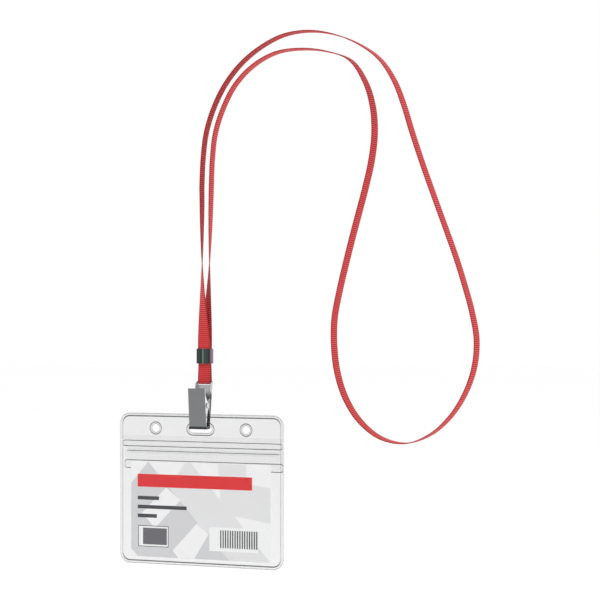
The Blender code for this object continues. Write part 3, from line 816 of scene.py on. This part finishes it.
@dataclass
class NeckStrap(Ribbon):
    """The neck loop: two runs up from the ferrule, which turn to lie side on, and the open loop above."""

    twist_clear: float = 0.0010
    twist_height: float = 0.098
    twist_steps: int = 14
    run_spread: float = 0.00305
    run_drift: float = 0.0011
    loop_stations: int = 53
    loop_lean: float = math.radians(13.0)
    lean_start: float = -0.030
    lean_span: float = 0.060
    route: tuple = (
        (-0.0670, -0.0560), (-0.0634, -0.0392), (-0.0550, -0.0208), (-0.0420, -0.0051), (-0.0248, 0.0065),
        (-0.0123, 0.0104), (0.0002, 0.0112), (0.0131, 0.0092), (0.0321, 0.0010), (0.0453, -0.0101),
        (0.0540, -0.0256), (0.0601, -0.0438), (0.0643, -0.0573), (0.0729, -0.0819), (0.0803, -0.1022),
        (0.0890, -0.1265), (0.0975, -0.1558), (0.1001, -0.1747), (0.0973, -0.1925), (0.0913, -0.2057),
        (0.0831, -0.2174), (0.0714, -0.2270), (0.0567, -0.2316), (0.0430, -0.2285), (0.0302, -0.2185),
        (0.0226, -0.2069), (0.0176, -0.1935), (0.0150, -0.1735), (0.0158, -0.1558), (0.0225, -0.1259),
        (0.0314, -0.0926), (0.0374, -0.0693), (0.0397, -0.0470), (0.0361, -0.0248), (0.0248, -0.0069),
        (0.0131, -0.0020), (0.0000, 0.0003), (-0.0123, 0.0009), (-0.0248, -0.0019), (-0.0375, -0.0092),
        (-0.0486, -0.0211), (-0.0574, -0.0394), (-0.0610, -0.0560),
    )

    def run(self, side: int) -> tuple[list[Vector], list[Vector]]:
        """One run, from inside the ferrule up to the end of its turn.

        Args:
            side: 1 for the front and left run, -1 for the rear and right one.

        Returns:
            Its centres and the direction of its width at each.
        """
        lowest = self.ferrule_top - self.ferrule_height + self.end_inset
        start = self.ferrule_top + self.twist_clear
        heights = [lowest, (lowest + start) / 2]
        for step in range(self.twist_steps + 1):
            heights.append(start + self.twist_height * step / self.twist_steps)
        pressed = 1.5 * (self.thickness + self.gap)
        centres, widths = [], []
        for height in heights:
            share = max(0.0, height - start) / self.twist_height
            turn = -math.pi / 2 * (1 - (1 - share) ** 2)
            spread = pressed + (self.run_spread - pressed) * share
            away = Vector((math.sin(turn), -math.cos(turn), 0)) * spread * side
            centres.append(Vector((self.hang_x + self.run_drift * share, 0, height)) + away)
            widths.append(Vector((math.cos(turn), math.sin(turn), 0)))
        return centres, widths

    def loop_widths(self, centres: Sequence[Vector]) -> list[Vector]:
        """The direction of the ribbon's width in the loop, which leans round to the right.

        Args:
            centres: The loop's stations.

        Returns:
            The direction at each.
        """
        widths = []
        for index, centre in enumerate(centres):
            before = centres[max(index - 1, 0)]
            after = centres[min(index + 1, len(centres) - 1)]
            along = (after - before).normalized()
            share = min(max((centre.x - self.lean_start) / self.lean_span, 0.0), 1.0)
            lean = self.loop_lean * share * share * (3 - 2 * share)
            facing = Vector((-math.sin(lean), -math.cos(lean), 0))
            widths.append((facing - along * facing.dot(along)).normalized())
        return widths

    def build(self, tree: PathTree, material: bpy.types.Material) -> None:
        left, left_widths = self.run(1)
        right, right_widths = self.run(-1)
        line = [left[-1], *(Vector((x, 0, z)) for x, z in self.route), right[-1]]
        loop = evenly_along(line, self.loop_stations)[1:-1]
        centres = left + loop + right[::-1]
        widths = left_widths + self.loop_widths(loop) + right_widths[::-1]
        strap, stations = self.weave("ribbed_neck_strap", centres, widths, tree, material)
        finish_piece(strap, "strap", stands_for="neck_strap")


@dataclass
class ClipLoop(Ribbon):
    """The short doubled strap between the ferrule and the clip's bar."""

    bar_z: float = -0.1973
    bar_half_height: float = 0.0006
    plate: float = 0.0006
    bulge: float = 0.0002
    easing: float = 0.0020  # height over which the plies part, at the ferrule and at the bar
    bend_steps: int = 8

    def build(self, tree: PathTree, material: bpy.types.Material) -> None:
        """Builds the loop."""
        radius = math.hypot(self.bar_half_height, self.plate / 2) + self.gap + self.thickness / 2
        offset = (self.thickness + self.gap) / 2
        bottom = self.ferrule_top - self.ferrule_height
        front = [
            Vector((self.hang_x, -offset, self.ferrule_top - self.end_inset)),
            Vector((self.hang_x, -offset, bottom)),
            Vector((self.hang_x, -offset - self.bulge, bottom - self.easing)),
            Vector((self.hang_x, -radius, self.bar_z + self.easing)),
        ]
        turn = arc((0, self.bar_z), radius, 180, 360, self.bend_steps)
        bend = [Vector((self.hang_x, y, z)) for y, z in turn]
        back = [Vector((point.x, -point.y, point.z)) for point in reversed(front)]
        centres = front + bend + back
        widths = [Vector((1, 0, 0))] * len(centres)
        loop = self.weave("ribbed_clip_loop", centres, widths, tree, material)[0]
        finish_piece(loop, "strap", stands_for="clip_loop_strap")


# Clip -----------------------------------------------------------------------------------------------
@dataclass
class SprungClip:
    """The ferrule and the clip: CAD solids with softened edges and plated finishes, and a wound spring."""

    edge: float = 0.00012
    pin: tuple[float, float, float] = (-0.0664, -0.0099, -0.2112)
    front_tip: tuple[float, float] = (-0.0125, -0.20464)
    rear_tip: tuple[float, float] = (-0.00215, -0.20424)
    wire: float = 0.0006
    coil_radius: float = 0.0016
    coil_half: float = 0.001875
    turns: int = 5
    part_turn: float = math.radians(60)
    start_angle: float = math.radians(150)
    steps_per_turn: int = 40
    wire_sides: int = 12
    lip_height: float = 0.0016
    lip_shade: tuple[float, float] = (-0.0002, 0.0003)  # where the lip's painted shade ends, about its top

    def soften(self, piece: bpy.types.Object) -> None:
        """Rounds a stamped part's edges a little."""
        bevel = piece.modifiers.new("Soft edges", "BEVEL")
        bevel.width = self.edge
        bevel.segments = 2
        bevel.limit_method = "ANGLE"
        bevel.angle_limit = math.radians(35)
        bevel.harden_normals = True

    def wire_tree(self) -> PathTree:
        """Builds the tree that turns a line of edges into round wire with filled ends.

        Returns:
            The tree, with the wire's diameter and its number of sides as inputs.
        """
        tree = PathTree("draw_wire", [("Wire Diameter", "NodeSocketFloat"), ("Sides", "NodeSocketInt")])
        path = tree.node("GeometryNodeMeshToCurve", {"Mesh": tree.given["Geometry"]}).outputs[0]
        radius = tree.math("MULTIPLY", tree.given["Wire Diameter"], 0.5)
        feeds = {"Resolution": tree.given["Sides"], "Radius": radius}
        section = tree.node("GeometryNodeCurvePrimitiveCircle", feeds).outputs[0]
        feeds = {"Curve": path, "Profile Curve": section, "Fill Caps": True}
        tree.close(tree.node("GeometryNodeCurveToMesh", feeds).outputs[0])
        return tree

    def coil(self) -> bpy.types.Mesh:
        """Draws the spring's line: a leg behind the lever, the coil round the pin, a leg up the rear plate.

        Returns:
            A mesh of edges in place.
        """
        swept = 2 * math.pi * self.turns + self.part_turn
        steps = self.steps_per_turn * self.turns
        points = [(self.pin[0] - self.coil_half, *self.front_tip)]
        for step in range(steps + 1):
            share = step / steps
            angle = self.start_angle - swept * share
            points.append((
                self.pin[0] + self.coil_half * (2 * share - 1),
                self.pin[1] + self.coil_radius * math.cos(angle),
                self.pin[2] + self.coil_radius * math.sin(angle),
            ))
        points.append((self.pin[0] + self.coil_half, *self.rear_tip))
        mesh = bpy.data.meshes.new("torsion_spring_line")
        mesh.from_pydata(points, [(index, index + 1) for index in range(len(points) - 1)], [])
        return mesh

    def spring(self, material: bpy.types.Material) -> None:
        """Winds the spring.

        Args:
            material: Bright spring steel.
        """
        spring = self.wire_tree().grow(
            "torsion_spring", self.coil(), material, Wire_Diameter=self.wire, Sides=self.wire_sides
        )
        spring.data.shade_smooth()
        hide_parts("clip_spring")
        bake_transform(spring)
        LOG.info("%s bends between clip and lever with %d faces", spring.name, len(spring.data.polygons))

    def build(self) -> None:
        """Dresses the clip's nodes."""
        lip_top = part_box("clip_lever")[0].z + self.lip_height
        below, above = self.lip_shade
        finishes = {
            "crimp_ferrule": DarkPlate(),
            # Painted shade: the rear jaw is darker on its lower part, behind the lever, and the lever's lip,
            # which faces down, is dark.
            "clip_rear_jaw": PlatedSteel(
                "rear_jaw_plate", shade(150, 151, 153), shade(188, 189, 191), -0.2065, -0.2035,
                side_highlight=shade(196, 197, 199),
            ),
            "clip_lever": PlatedSteel(
                "lever_plate", shade(66, 67, 68), shade(126, 127, 128), lip_top + below, lip_top + above
            ),
            "clip_pin": PlatedSteel("pin_steel", shade(180, 182, 184), shade(205, 206, 208), roughness=0.22),
        }
        for node, finish in finishes.items():
            piece = dress(node, finish.material())
            if node != "clip_pin":
                self.soften(piece)
        steel = PlatedSteel("spring_wire", shade(150, 152, 155), shade(190, 192, 195), roughness=0.25)
        self.spring(steel.material())


# Pocket ---------------------------------------------------------------------------------------------
class Opening(Enum):
    """The header's three openings."""

    SLOT = "slot"
    LEFT_HOLE = "left_hole"
    RIGHT_HOLE = "right_hole"


@dataclass
class ZipPocket:
    """The clear pocket: films, weld beads, zip strips and the flap behind the mouth."""

    centre_x: float = -0.0664
    width: float = 0.105
    height: float = 0.0913
    top: float = -0.2165
    corner: float = 0.0065
    film: float = 0.0004
    rim: float = 0.0017
    slot_drop: float = 0.0091
    slot_width: float = 0.0145
    slot_height: float = 0.0043
    slot_ring: float = 0.0015
    hole_spread: float = 0.029
    hole_drop: float = 0.0090
    hole_radius: float = 0.0024
    hole_ring: float = 0.0013
    mouth_drop: float = 0.0169
    hem_height: float = 0.0034
    flap_width: float = 0.102
    flap_top_drop: float = 0.0138
    flap_band_drop: float = 0.0291
    flap_bottom_drop: float = 0.0339
    zip_drop: float = 0.0233
    zip_length: float = 0.098
    zip_base_height: float = 0.0030
    zip_film: float = 0.00025
    zip_corner: float = 0.0003
    lip_reach: float = 0.00085  # from the zip's middle to each lip of its channel
    lip_rise: float = 0.0004
    rib_rise: float = 0.0004
    corner_steps: int = 10
    rim_proud: float = 0.00015
    header_clear: float = 0.0006  # between the header's film and the mouth
    flap_line_gap: float = 0.0003  # between the zip's rib strip and the flap's lines
    weld_inset: float = 0.0001
    edge_inset: float = 0.0003
    hem_corner: float = 0.0010
    band_corner: float = 0.0015
    fine_line: float = 0.0004
    thin_line: float = 0.0005
    plain_line: float = 0.0006
    bold_line: float = 0.0008
    low_bead: float = 0.00015
    middle_bead: float = 0.0002
    high_bead: float = 0.00025
    lip_bead: float = 0.0003
    rib_bead: float = 0.0004
    step_above: float = 0.0016  # from the mouth up to where the flap steps over the zip
    step_below: float = 0.0007  # from the step's end down to the zip
    step_ease: float = 0.0005
    step_round: float = 0.0001
    flap_proud: float = 0.0002
    flap_columns: int = 12

    def line_tree(self) -> PathTree:
        """Builds the tree that lays a low bead along each edge line of a mesh.

        Returns:
            The tree. Its bead is an open half-round that faces forwards.
        """
        tree = PathTree("weld_bead", [("Bead Width", "NodeSocketFloat"), ("Bead Height", "NodeSocketFloat")])
        path = tree.node("GeometryNodeMeshToCurve", {0: tree.given["Geometry"]}).outputs[0]
        feeds = {"Curve": path, "Normal": (0.0, -1.0, 0.0)}
        level = tree.node("GeometryNodeSetCurveNormal", feeds, mode="FREE").outputs[0]
        half_round = {"Resolution": 7, "Radius": 0.5, "Start Angle": -math.pi / 2, "Sweep Angle": math.pi}
        profile = tree.node("GeometryNodeCurveArc", half_round, mode="RADIUS").outputs[0]
        height = tree.math("MULTIPLY", tree.given["Bead Height"], 2.0)
        size = tree.node("ShaderNodeCombineXYZ", {0: height, 1: tree.given["Bead Width"], 2: 1.0}).outputs[0]
        shaped = tree.node("GeometryNodeTransform", {"Geometry": profile, "Scale": size}).outputs[0]
        bead = tree.node("GeometryNodeCurveToMesh", {"Curve": level, "Profile Curve": shaped})
        tree.close(bead.outputs[0])
        return tree

    def opening(self, which: Opening, extra: float = 0.0) -> Outline:
        """The outline of an opening.

        Args:
            which: Which opening.
            extra: How far it is widened all round.

        Returns:
            The outline.
        """
        if which is Opening.SLOT:
            x, z = self.centre_x, self.top - self.slot_drop
            half, tall = self.slot_width / 2 + extra, self.slot_height / 2 + extra
            return rounded_box(x - half, x + half, z - tall, z + tall, tall - 1e-5, 12)
        side = -1 if which is Opening.LEFT_HOLE else 1
        centre = (self.centre_x + side * self.hole_spread, self.top - self.hole_drop)
        return arc(centre, self.hole_radius + extra, 0, 350, 35)

    def outline(self, inset: float = 0.0, top_drop: float = 0.0, bottom_drop: float = 0.0) -> Outline:
        """The pocket's outline, or the part of it between two levels.

        Args:
            inset: How far it is drawn in.
            top_drop: Distance of a straight cut from the top edge, or 0 for the rounded top.
            bottom_drop: Distance of a straight cut from the top edge, or 0 for the rounded bottom.

        Returns:
            The outline, counter-clockwise.
        """
        left = self.centre_x - self.width / 2 + inset
        right = self.centre_x + self.width / 2 - inset
        low = self.top - self.height + inset
        high = self.top - inset
        radius = self.corner - inset
        corners = (
            ((right - radius, high - radius), 0), ((left + radius, high - radius), 90),
            ((left + radius, low + radius), 180), ((right - radius, low + radius), 270),
        )
        rounds = [arc(centre, radius, start, start + 90, self.corner_steps) for centre, start in corners]
        above, below = self.top - top_drop, self.top - bottom_drop
        upper = [(right, above), (left, above)] if top_drop else rounds[0] + rounds[1]
        lower = [(left, below), (right, below)] if bottom_drop else rounds[2] + rounds[3]
        return upper + lower

    def band(
        self, width: float, top_drop: float, bottom_drop: float, corner: float, steps: int = 5
    ) -> Outline:
        """The outline of a band across the pocket, between two levels.

        Args:
            width: Its width.
            top_drop: Distance from the pocket's top edge to its own.
            bottom_drop: Distance from the pocket's top edge to its lower edge.
            corner: Corner radius.
            steps: Steps in each corner.

        Returns:
            The outline, counter-clockwise.
        """
        left, right = self.centre_x - width / 2, self.centre_x + width / 2
        return rounded_box(left, right, self.top - bottom_drop, self.top - top_drop, corner, steps)

    def film_piece(
        self, name: str, outlines: Sequence[Outline], front: float, thickness: float,
        material: bpy.types.Material, body: str, stands_for: str,
    ) -> None:
        """Makes a film with its edge walls, filled on its front only, so that it is seen through once.

        Args:
            name: The piece's name.
            outlines: Its outline and its openings.
            front: The Y of its front face.
            thickness: Its thickness.
            material: Its material.
            body: The CAD body that it rides on.
            stands_for: The CAD node that it replaces.
        """
        curve = bpy.data.curves.new(name, "CURVE")
        curve.dimensions = "2D"
        curve.fill_mode = "FRONT"
        curve.extrude = thickness / 2
        for outline in outlines:
            spline = curve.splines.new("POLY")
            spline.points.add(len(outline) - 1)
            for point, (x, z) in zip(spline.points, outline):
                point.co = (x, z, 0, 1)
            spline.use_cyclic_u = True
        drawn = add_object(name, curve)
        mesh = evaluated_mesh(drawn, name)
        bpy.data.objects.remove(drawn)
        upright = Matrix.Rotation(math.pi / 2, 4, "X")
        mesh.transform(Matrix.Translation((0, front + thickness / 2, 0)) @ upright)
        mesh.materials.clear()
        mesh.materials.append(material)
        finish_piece(add_object(name, mesh), body, smooth=False, stands_for=stands_for)

    def wires(self, lines: Sequence[Outline], y: float, closed: bool) -> bpy.types.Mesh:
        """Edge lines for beads.

        Args:
            lines: Outlines in the XZ plane.
            y: Their Y.
            closed: Whether each one ends where it starts.

        Returns:
            A mesh of edges only, which holds in "level" how level each point's line runs.
        """
        points, edges, levels = [], [], []
        for line in lines:
            first = len(points)
            points += [(x, y, z) for x, z in line]
            around = [line[-1], *line, line[0]] if closed else [line[0], *line, line[-1]]
            for behind, ahead in zip(around, around[2:]):
                levels.append(abs(Vector((ahead[0] - behind[0], ahead[1] - behind[1])).normalized().x))
            edges += [(first + step, first + step + 1) for step in range(len(line) - 1)]
            if closed:
                edges.append((len(points) - 1, first))
        mesh = bpy.data.meshes.new("wires")
        mesh.from_pydata(points, edges, [])
        mesh.attributes.new("level", "FLOAT", "POINT").data.foreach_set("value", levels)
        return mesh

    def bead(
        self, tree: PathTree, name: str, lines: Sequence[Outline], y: float, material: bpy.types.Material,
        size: tuple[float, float], body: str = "holder", slot: str = "clear_vinyl", closed: bool = True,
    ) -> None:
        """Lays one piece of beads along lines.

        Args:
            tree: The tree that lays them.
            name: The piece's name.
            lines: Outlines in the XZ plane.
            y: Their Y.
            material: Its material.
            size: The bead's width and height.
            body: The CAD body that it rides on.
            slot: Not used.
            closed: Whether each line ends where it starts.
        """
        path = self.wires(lines, y, closed)
        piece = tree.grow(name, path, material, Bead_Width=size[0], Bead_Height=size[1])
        finish_piece(piece, body)

    def level(self, drop: float, steps: int = 24) -> Outline:
        """A straight line as long as the zip, at a distance below the pocket's top edge."""
        left = self.centre_x - self.zip_length / 2
        return [(left + self.zip_length * step / steps, self.top - drop) for step in range(steps + 1)]

    def build(self) -> None:
        """Builds the films, welds, zip and flap."""
        looks = {finish.name: finish.material() for finish in (
            ClearVinyl("clear_film"), ClearVinyl("welded_band", haze=0.03),
            ClearVinyl("rear_film", haze=0.11), ClearVinyl("zip_film", haze=0.025),
            ClearVinyl("flap_vinyl", haze=0.085, edge=0.5),
            WeldedVinyl("rim_weld_line"), WeldedVinyl("cut_edge_line", level=0.45, upright=0.14),
            WeldedVinyl("strip_edge_line", level=1.0, upright=0.30),
            WeldedVinyl("zip_rib_edge", shade(72, 74, 77), 0.9, 0.5),
            WeldedVinyl("collar_weld_line", shade(58, 60, 63), 0.95, 0.55),
            WeldedVinyl("opening_edge", shade(70, 72, 75), 0.6, 0.4),
        )}
        tree = self.line_tree()
        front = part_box("pocket_front_sheet")[0].y + self.rim_proud
        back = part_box("header_back_strip")[0].y
        self.films(looks, front, back)
        self.welds(tree, looks, front, back)
        self.zip_strips(tree, looks)
        self.flap(looks["flap_vinyl"])
        flap_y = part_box("zip_rib_strip")[1].y + self.flap_line_gap
        edges = [self.band(self.flap_width, self.flap_band_drop, self.flap_bottom_drop, self.band_corner)]
        size = (self.thin_line, self.middle_bead)
        self.bead(tree, "flap_band_lines", edges, flap_y, looks["strip_edge_line"], size, body="flap")

    def films(self, looks: dict[str, bpy.types.Material], front: float, back: float) -> None:
        """Makes the front film, the header's rear film and the pocket's rear film.

        Args:
            looks: The materials by name.
            front: The Y of the front film.
            back: The Y of the two rear films.
        """
        openings = [self.opening(which) for which in Opening]
        header = self.outline(bottom_drop=self.mouth_drop - self.header_clear)
        rear = self.outline(top_drop=self.mouth_drop)
        for name, outlines, y, look, node in (
            ("front_film", [self.outline(), *openings], front, "clear_film", "pocket_front_sheet"),
            ("header_film", [header, *openings], back, "rear_film", "header_back_strip"),
            ("rear_film", [rear], back, "rear_film", "pocket_back_sheet"),
        ):
            self.film_piece(name, outlines, y, self.film, looks[look], "holder", node)

    def welds(self, tree: PathTree, looks: dict[str, bpy.types.Material], front: float, back: float) -> None:
        """Lays the beads of the rim, the openings and the mouth.

        Args:
            tree: The tree that lays beads.
            looks: The materials by name.
            front: The Y of the front film.
            back: The Y of the rear films.
        """
        rings = {which: self.slot_ring if which is Opening.SLOT else self.hole_ring for which in Opening}
        collars = [self.opening(which, ring) for which, ring in rings.items()]
        edges = [self.opening(which, self.edge_inset) for which in Opening]
        hem = self.band(self.flap_width, self.mouth_drop, self.mouth_drop + self.hem_height, self.hem_corner)
        bold, plain = (self.bold_line, self.high_bead), (self.plain_line, self.low_bead)
        wide, fine = (self.rim, self.low_bead), (self.fine_line, self.low_bead)
        thin = (self.thin_line, self.middle_bead)
        for name, lines, y, look, size in (
            ("rim_weld_line", [self.outline(self.rim + self.weld_inset)], front, "rim_weld_line", bold),
            ("cut_edge_line", [self.outline(self.edge_inset)], front, "cut_edge_line", plain),
            ("rim_weld_bead", [self.outline(self.rim / 2)], front, "welded_band", wide),
            ("opening_weld_lines", collars, front, "collar_weld_line", plain),
            ("opening_edge_lines", edges, front, "opening_edge", fine),
            ("mouth_hem_lines", [hem], back, "strip_edge_line", thin),
        ):
            self.bead(tree, name, lines, y, looks[look], size)

    def zip_strips(self, tree: PathTree, looks: dict[str, bpy.types.Material]) -> None:
        """Makes the zip: the channel with its two lips on the rear film, and the rib on the flap.

        Args:
            tree: The tree that lays beads.
            looks: The materials by name.
        """
        half = self.zip_base_height / 2
        base = [self.band(self.zip_length, self.zip_drop - half, self.zip_drop + half, self.zip_corner, 3)]
        clear, slot, deep = looks["zip_film"], "zip_vinyl", self.zip_film
        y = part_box("zip_channel_strip")[0].y
        self.film_piece("zip_channel_film", base, y, deep, clear, "holder", "zip_channel_strip")
        lips = [self.level(self.zip_drop + reach) for reach in (-self.lip_reach, self.lip_reach)]
        size = (self.fine_line, self.lip_bead)
        self.bead(tree, "zip_channel_lips", lips, y + self.lip_rise, clear, size, slot=slot, closed=False)
        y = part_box("zip_rib_strip")[0].y + self.rib_rise
        self.film_piece("zip_rib_film", base, y, deep, clear, "flap", "zip_rib_strip")
        rib, size = [self.level(self.zip_drop)], (self.thin_line, self.rib_bead)
        self.bead(tree, "zip_rib_line", rib, y, looks["zip_rib_edge"], size, "flap", slot, closed=False)

    def flap(self, material: bpy.types.Material) -> None:
        """Makes the flap, seen through once: a short upper edge, a step over the zip, a straight lower part.

        Args:
            material: Its material.
        """
        low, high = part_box("closing_flap")
        near = low.y + self.film / 2
        far = high.y - self.film / 2 - self.flap_proud
        step_top = self.top - self.mouth_drop + self.step_above
        step_bottom = self.top - self.zip_drop + self.zip_base_height / 2 + self.step_below
        line = [
            (near, self.top - self.flap_top_drop), (near, step_top + self.step_ease),
            (near + self.step_round, step_top), (far - self.step_round, step_bottom),
            (far, step_bottom - self.step_ease), (far, self.top - self.flap_bottom_drop),
        ]
        left = self.centre_x - self.flap_width / 2
        across = [left + self.flap_width * step / self.flap_columns for step in range(self.flap_columns + 1)]
        points = [(x, y, z) for y, z in line for x in across]
        faces = []
        for row in range(0, len(points) - len(across), len(across)):
            for first in range(row, row + self.flap_columns):
                below = first + len(across)
                faces.append((first, below, below + 1, first + 1))
        mesh = bpy.data.meshes.new("flap_film")
        mesh.from_pydata(points, [], faces)
        mesh.materials.append(material)
        piece = add_object("flap_film", mesh)
        finish_piece(piece, "flap", smooth=False, stands_for="closing_flap")


# Card -----------------------------------------------------------------------------------------------
@dataclass
class PrintedCard:
    """The card: plain board with grey facets, a red bar, grey lines, a framed block and even stripes."""

    lift: float = 0.00003
    layer_gap: float = 0.000003
    text_lengths: tuple = (14.0, 32.0, 12.6)
    stripes: int = 16

    def build(self) -> None:
        """Dresses the card and lays its print on the front."""
        board = CardStock("card_board", shade(255, 255, 255)).material()
        card = dress("insert_card", board)
        low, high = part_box("insert_card")
        inks = {
            "light": CardStock("pale_grey_ink", shade(238, 238, 239)).material(),
            "dark": CardStock("grey_ink", shade(221, 221, 223)).material(),
            "red": CardStock("red_ink", shade(232, 6, 18), 0.4).material(),
            "black": CardStock("charcoal_ink", shade(60, 60, 64), 0.4).material(),
            "slate": CardStock("slate_ink", shade(104, 104, 110), 0.4).material(),
            "paper": CardStock("white_ink", shade(255, 255, 255)).material(),
        }
        LOG.info("%s carries %d inks", card.name, len(inks))
        points, faces, picks = [], [], []
        for layer, (ink, shape) in enumerate(self.shapes()):
            first = len(points)
            y = low.y - self.lift - self.layer_gap * layer
            points += [(low.x + x / 1000, y, high.z - z / 1000) for x, z in shape]
            faces.append(tuple(range(first, len(points))))
            picks.append(list(inks).index(ink))
        mesh = bpy.data.meshes.new("card_print")
        mesh.from_pydata(points, [], faces)
        for material in inks.values():
            mesh.materials.append(material)
        for face, pick in zip(mesh.polygons, picks):
            face.material_index = pick
        piece = add_object("card_print", mesh)
        finish_piece(piece, "card", smooth=False)

    @staticmethod
    def block(left: float, top: float, width: float, height: float) -> Outline:
        """A box in millimetres from the card's upper left corner."""
        return [(left, top), (left, top + height), (left + width, top + height), (left + width, top)]

    def shapes(self) -> list[tuple[str, Outline]]:
        """The printed shapes in millimetres from the card's upper left corner, lowest layer first.

        Returns:
            Ink names and outlines.
        """
        shapes: list[tuple[str, Outline]] = [
            ("light", [(35.7, 0.3), (24.5, 15.5), (42.5, 36.5), (50.5, 42.6), (63.7, 57.7), (89.7, 57.7),
                       (75.1, 40.7), (67, 31), (89.7, 34.6), (89.7, 13.7), (74.5, 11.5), (74.6, 0.3),
                       (56.5, 0.3), (58.4, 22.3), (39.4, 0.3)]),
            ("dark", [(11.5, 0.3), (0.3, 13.5), (0.3, 53), (4.5, 57.7), (31, 57.7), (27.5, 53.4),
                      (43.7, 35.9)]),
            ("dark", [(50.7, 42.5), (41.5, 57.7), (63.7, 57.7)]),
            ("paper", [(23.3, 15.5), (7.3, 31.5), (16, 40.2), (32.4, 22.9)]),
            ("red", self.block(4.5, 7.7, 73.8, 7.8)),
        ]
        for row, length in enumerate(self.text_lengths):
            shapes.append(("black", self.block(4.6, 21.1 + 5.4 * row, length, 2.2)))
        shapes += [
            ("black", self.block(5.0, 38.9, 19.8, 12.8)),
            ("paper", self.block(5.4, 39.3, 19.0, 12.0)),
            ("slate", self.block(8.1, 40.3, 15.6, 10.0)),
            ("paper", self.block(51.2, 38.2, 30.8, 14.3)),
        ]
        for stripe in range(self.stripes):
            shapes.append(("black", self.block(58.1 + 1.52 * stripe, 39.8, 0.78, 10.6)))
        return shapes


# Studio ---------------------------------------------------------------------------------------------
@dataclass
class Studio:
    """Pale floor, soft light and the camera."""

    floor_z: float = -0.62
    place: tuple = (0.2705, -0.8718, -0.1550)
    lens: float = 92.5
    tilt: float = 90.431
    azimuth: float = 17.6
    floor_reach: float = 12.0
    aim: tuple = (0.0, 0.0, -0.15)

    def build(self) -> None:
        """Builds the floor, the sky, the lamps and the camera."""
        mesh = bpy.data.meshes.new("pale_floor")
        turns = ((-1, -1), (1, -1), (1, 1), (-1, 1))
        corners = [(x * self.floor_reach, y * self.floor_reach, self.floor_z) for x, y in turns]
        mesh.from_pydata(corners, [], [(0, 1, 2, 3)])
        paint = Paint("floor_paint")
        speckle = paint.noise(paint.place, 40.0, 2.0)
        paint.set(
            Base_Color=paint.blend(speckle, shade(254, 254, 254), shade(255, 255, 255)), Roughness=0.8,
            Specular_IOR_Level=0.1,
        )
        mesh.materials.append(paint.material)
        add_object("pale_floor", mesh)
        self.sky()
        self.lamp("key_lamp", (-0.7, -0.9, 1.3), 0.8, 3.0)
        self.lamp("side_lamp", (1.4, -0.3, 0.2), 0.9, 2.0)
        self.lamp("top_lamp", (0.0, 0.6, 2.4), 2.4, 9.0)
        self.camera()
        bpy.context.scene.view_settings.view_transform = "Standard"

    def sky(self) -> None:
        """A white surround. Mirrored in metal it is dimmer on the front's side, as a real room is."""
        world = bpy.data.worlds.new("soft_surround")
        bpy.context.scene.world = world
        world.use_nodes = True
        wiring = Wiring(world.node_tree)
        wiring.tree.nodes.clear()
        where = wiring.node("ShaderNodeTexCoord").outputs["Generated"]
        place = wiring.split(where)
        behind = wiring.math("MULTIPLY", place[1], -1.0)
        towards = wiring.math("MULTIPLY_ADD", place[2], -0.8, behind)
        mirrored = wiring.ramp(towards, [(0.60, (1, 1, 1, 1)), (0.98, (0.26, 0.26, 0.265, 1))])
        path = wiring.node("ShaderNodeLightPath")
        colour = wiring.blend(path.outputs["Is Glossy Ray"], (1.0, 1.0, 1.0, 1.0), mirrored)
        light = wiring.node("ShaderNodeBackground", {0: colour, 1: 1.0})
        wiring.node("ShaderNodeOutputWorld", {0: light.outputs[0]})

    def lamp(self, name: str, place: tuple[float, float, float], size: float, power: float) -> None:
        """A soft square lamp that looks at the object.

        Args:
            name: Its name.
            place: Where it stands.
            size: Its side.
            power: Its power in watts.
        """
        light = bpy.data.lights.new(name, "AREA")
        light.size = size
        light.energy = power
        lamp = add_object(name, light)
        lamp.location = place
        towards = Vector(self.aim) - Vector(place)
        lamp.rotation_euler = towards.to_track_quat("-Z", "Y").to_euler()

    def camera(self) -> None:
        """The camera, a little to the right of the object's front and level with its middle."""
        data = bpy.data.cameras.new("camera")
        data.lens = self.lens
        data.sensor_width = 36.0
        data.clip_start = 0.01
        camera = add_object("camera", data)
        camera.location = self.place
        camera.rotation_euler = (math.radians(self.tilt), 0, math.radians(self.azimuth))
        bpy.context.scene.camera = camera


def main() -> None:
    """Builds the whole scene in order."""
    logging.basicConfig(level=logging.INFO, format="%(message)s")
    Studio().build()
    ribbon = RibbedWeave().material()
    tree = Ribbon().rib_tree()
    NeckStrap().build(tree, ribbon)
    ClipLoop().build(tree, ribbon)
    SprungClip().build()
    ZipPocket().build()
    PrintedCard().build()


if __name__ == "__main__":
    main()
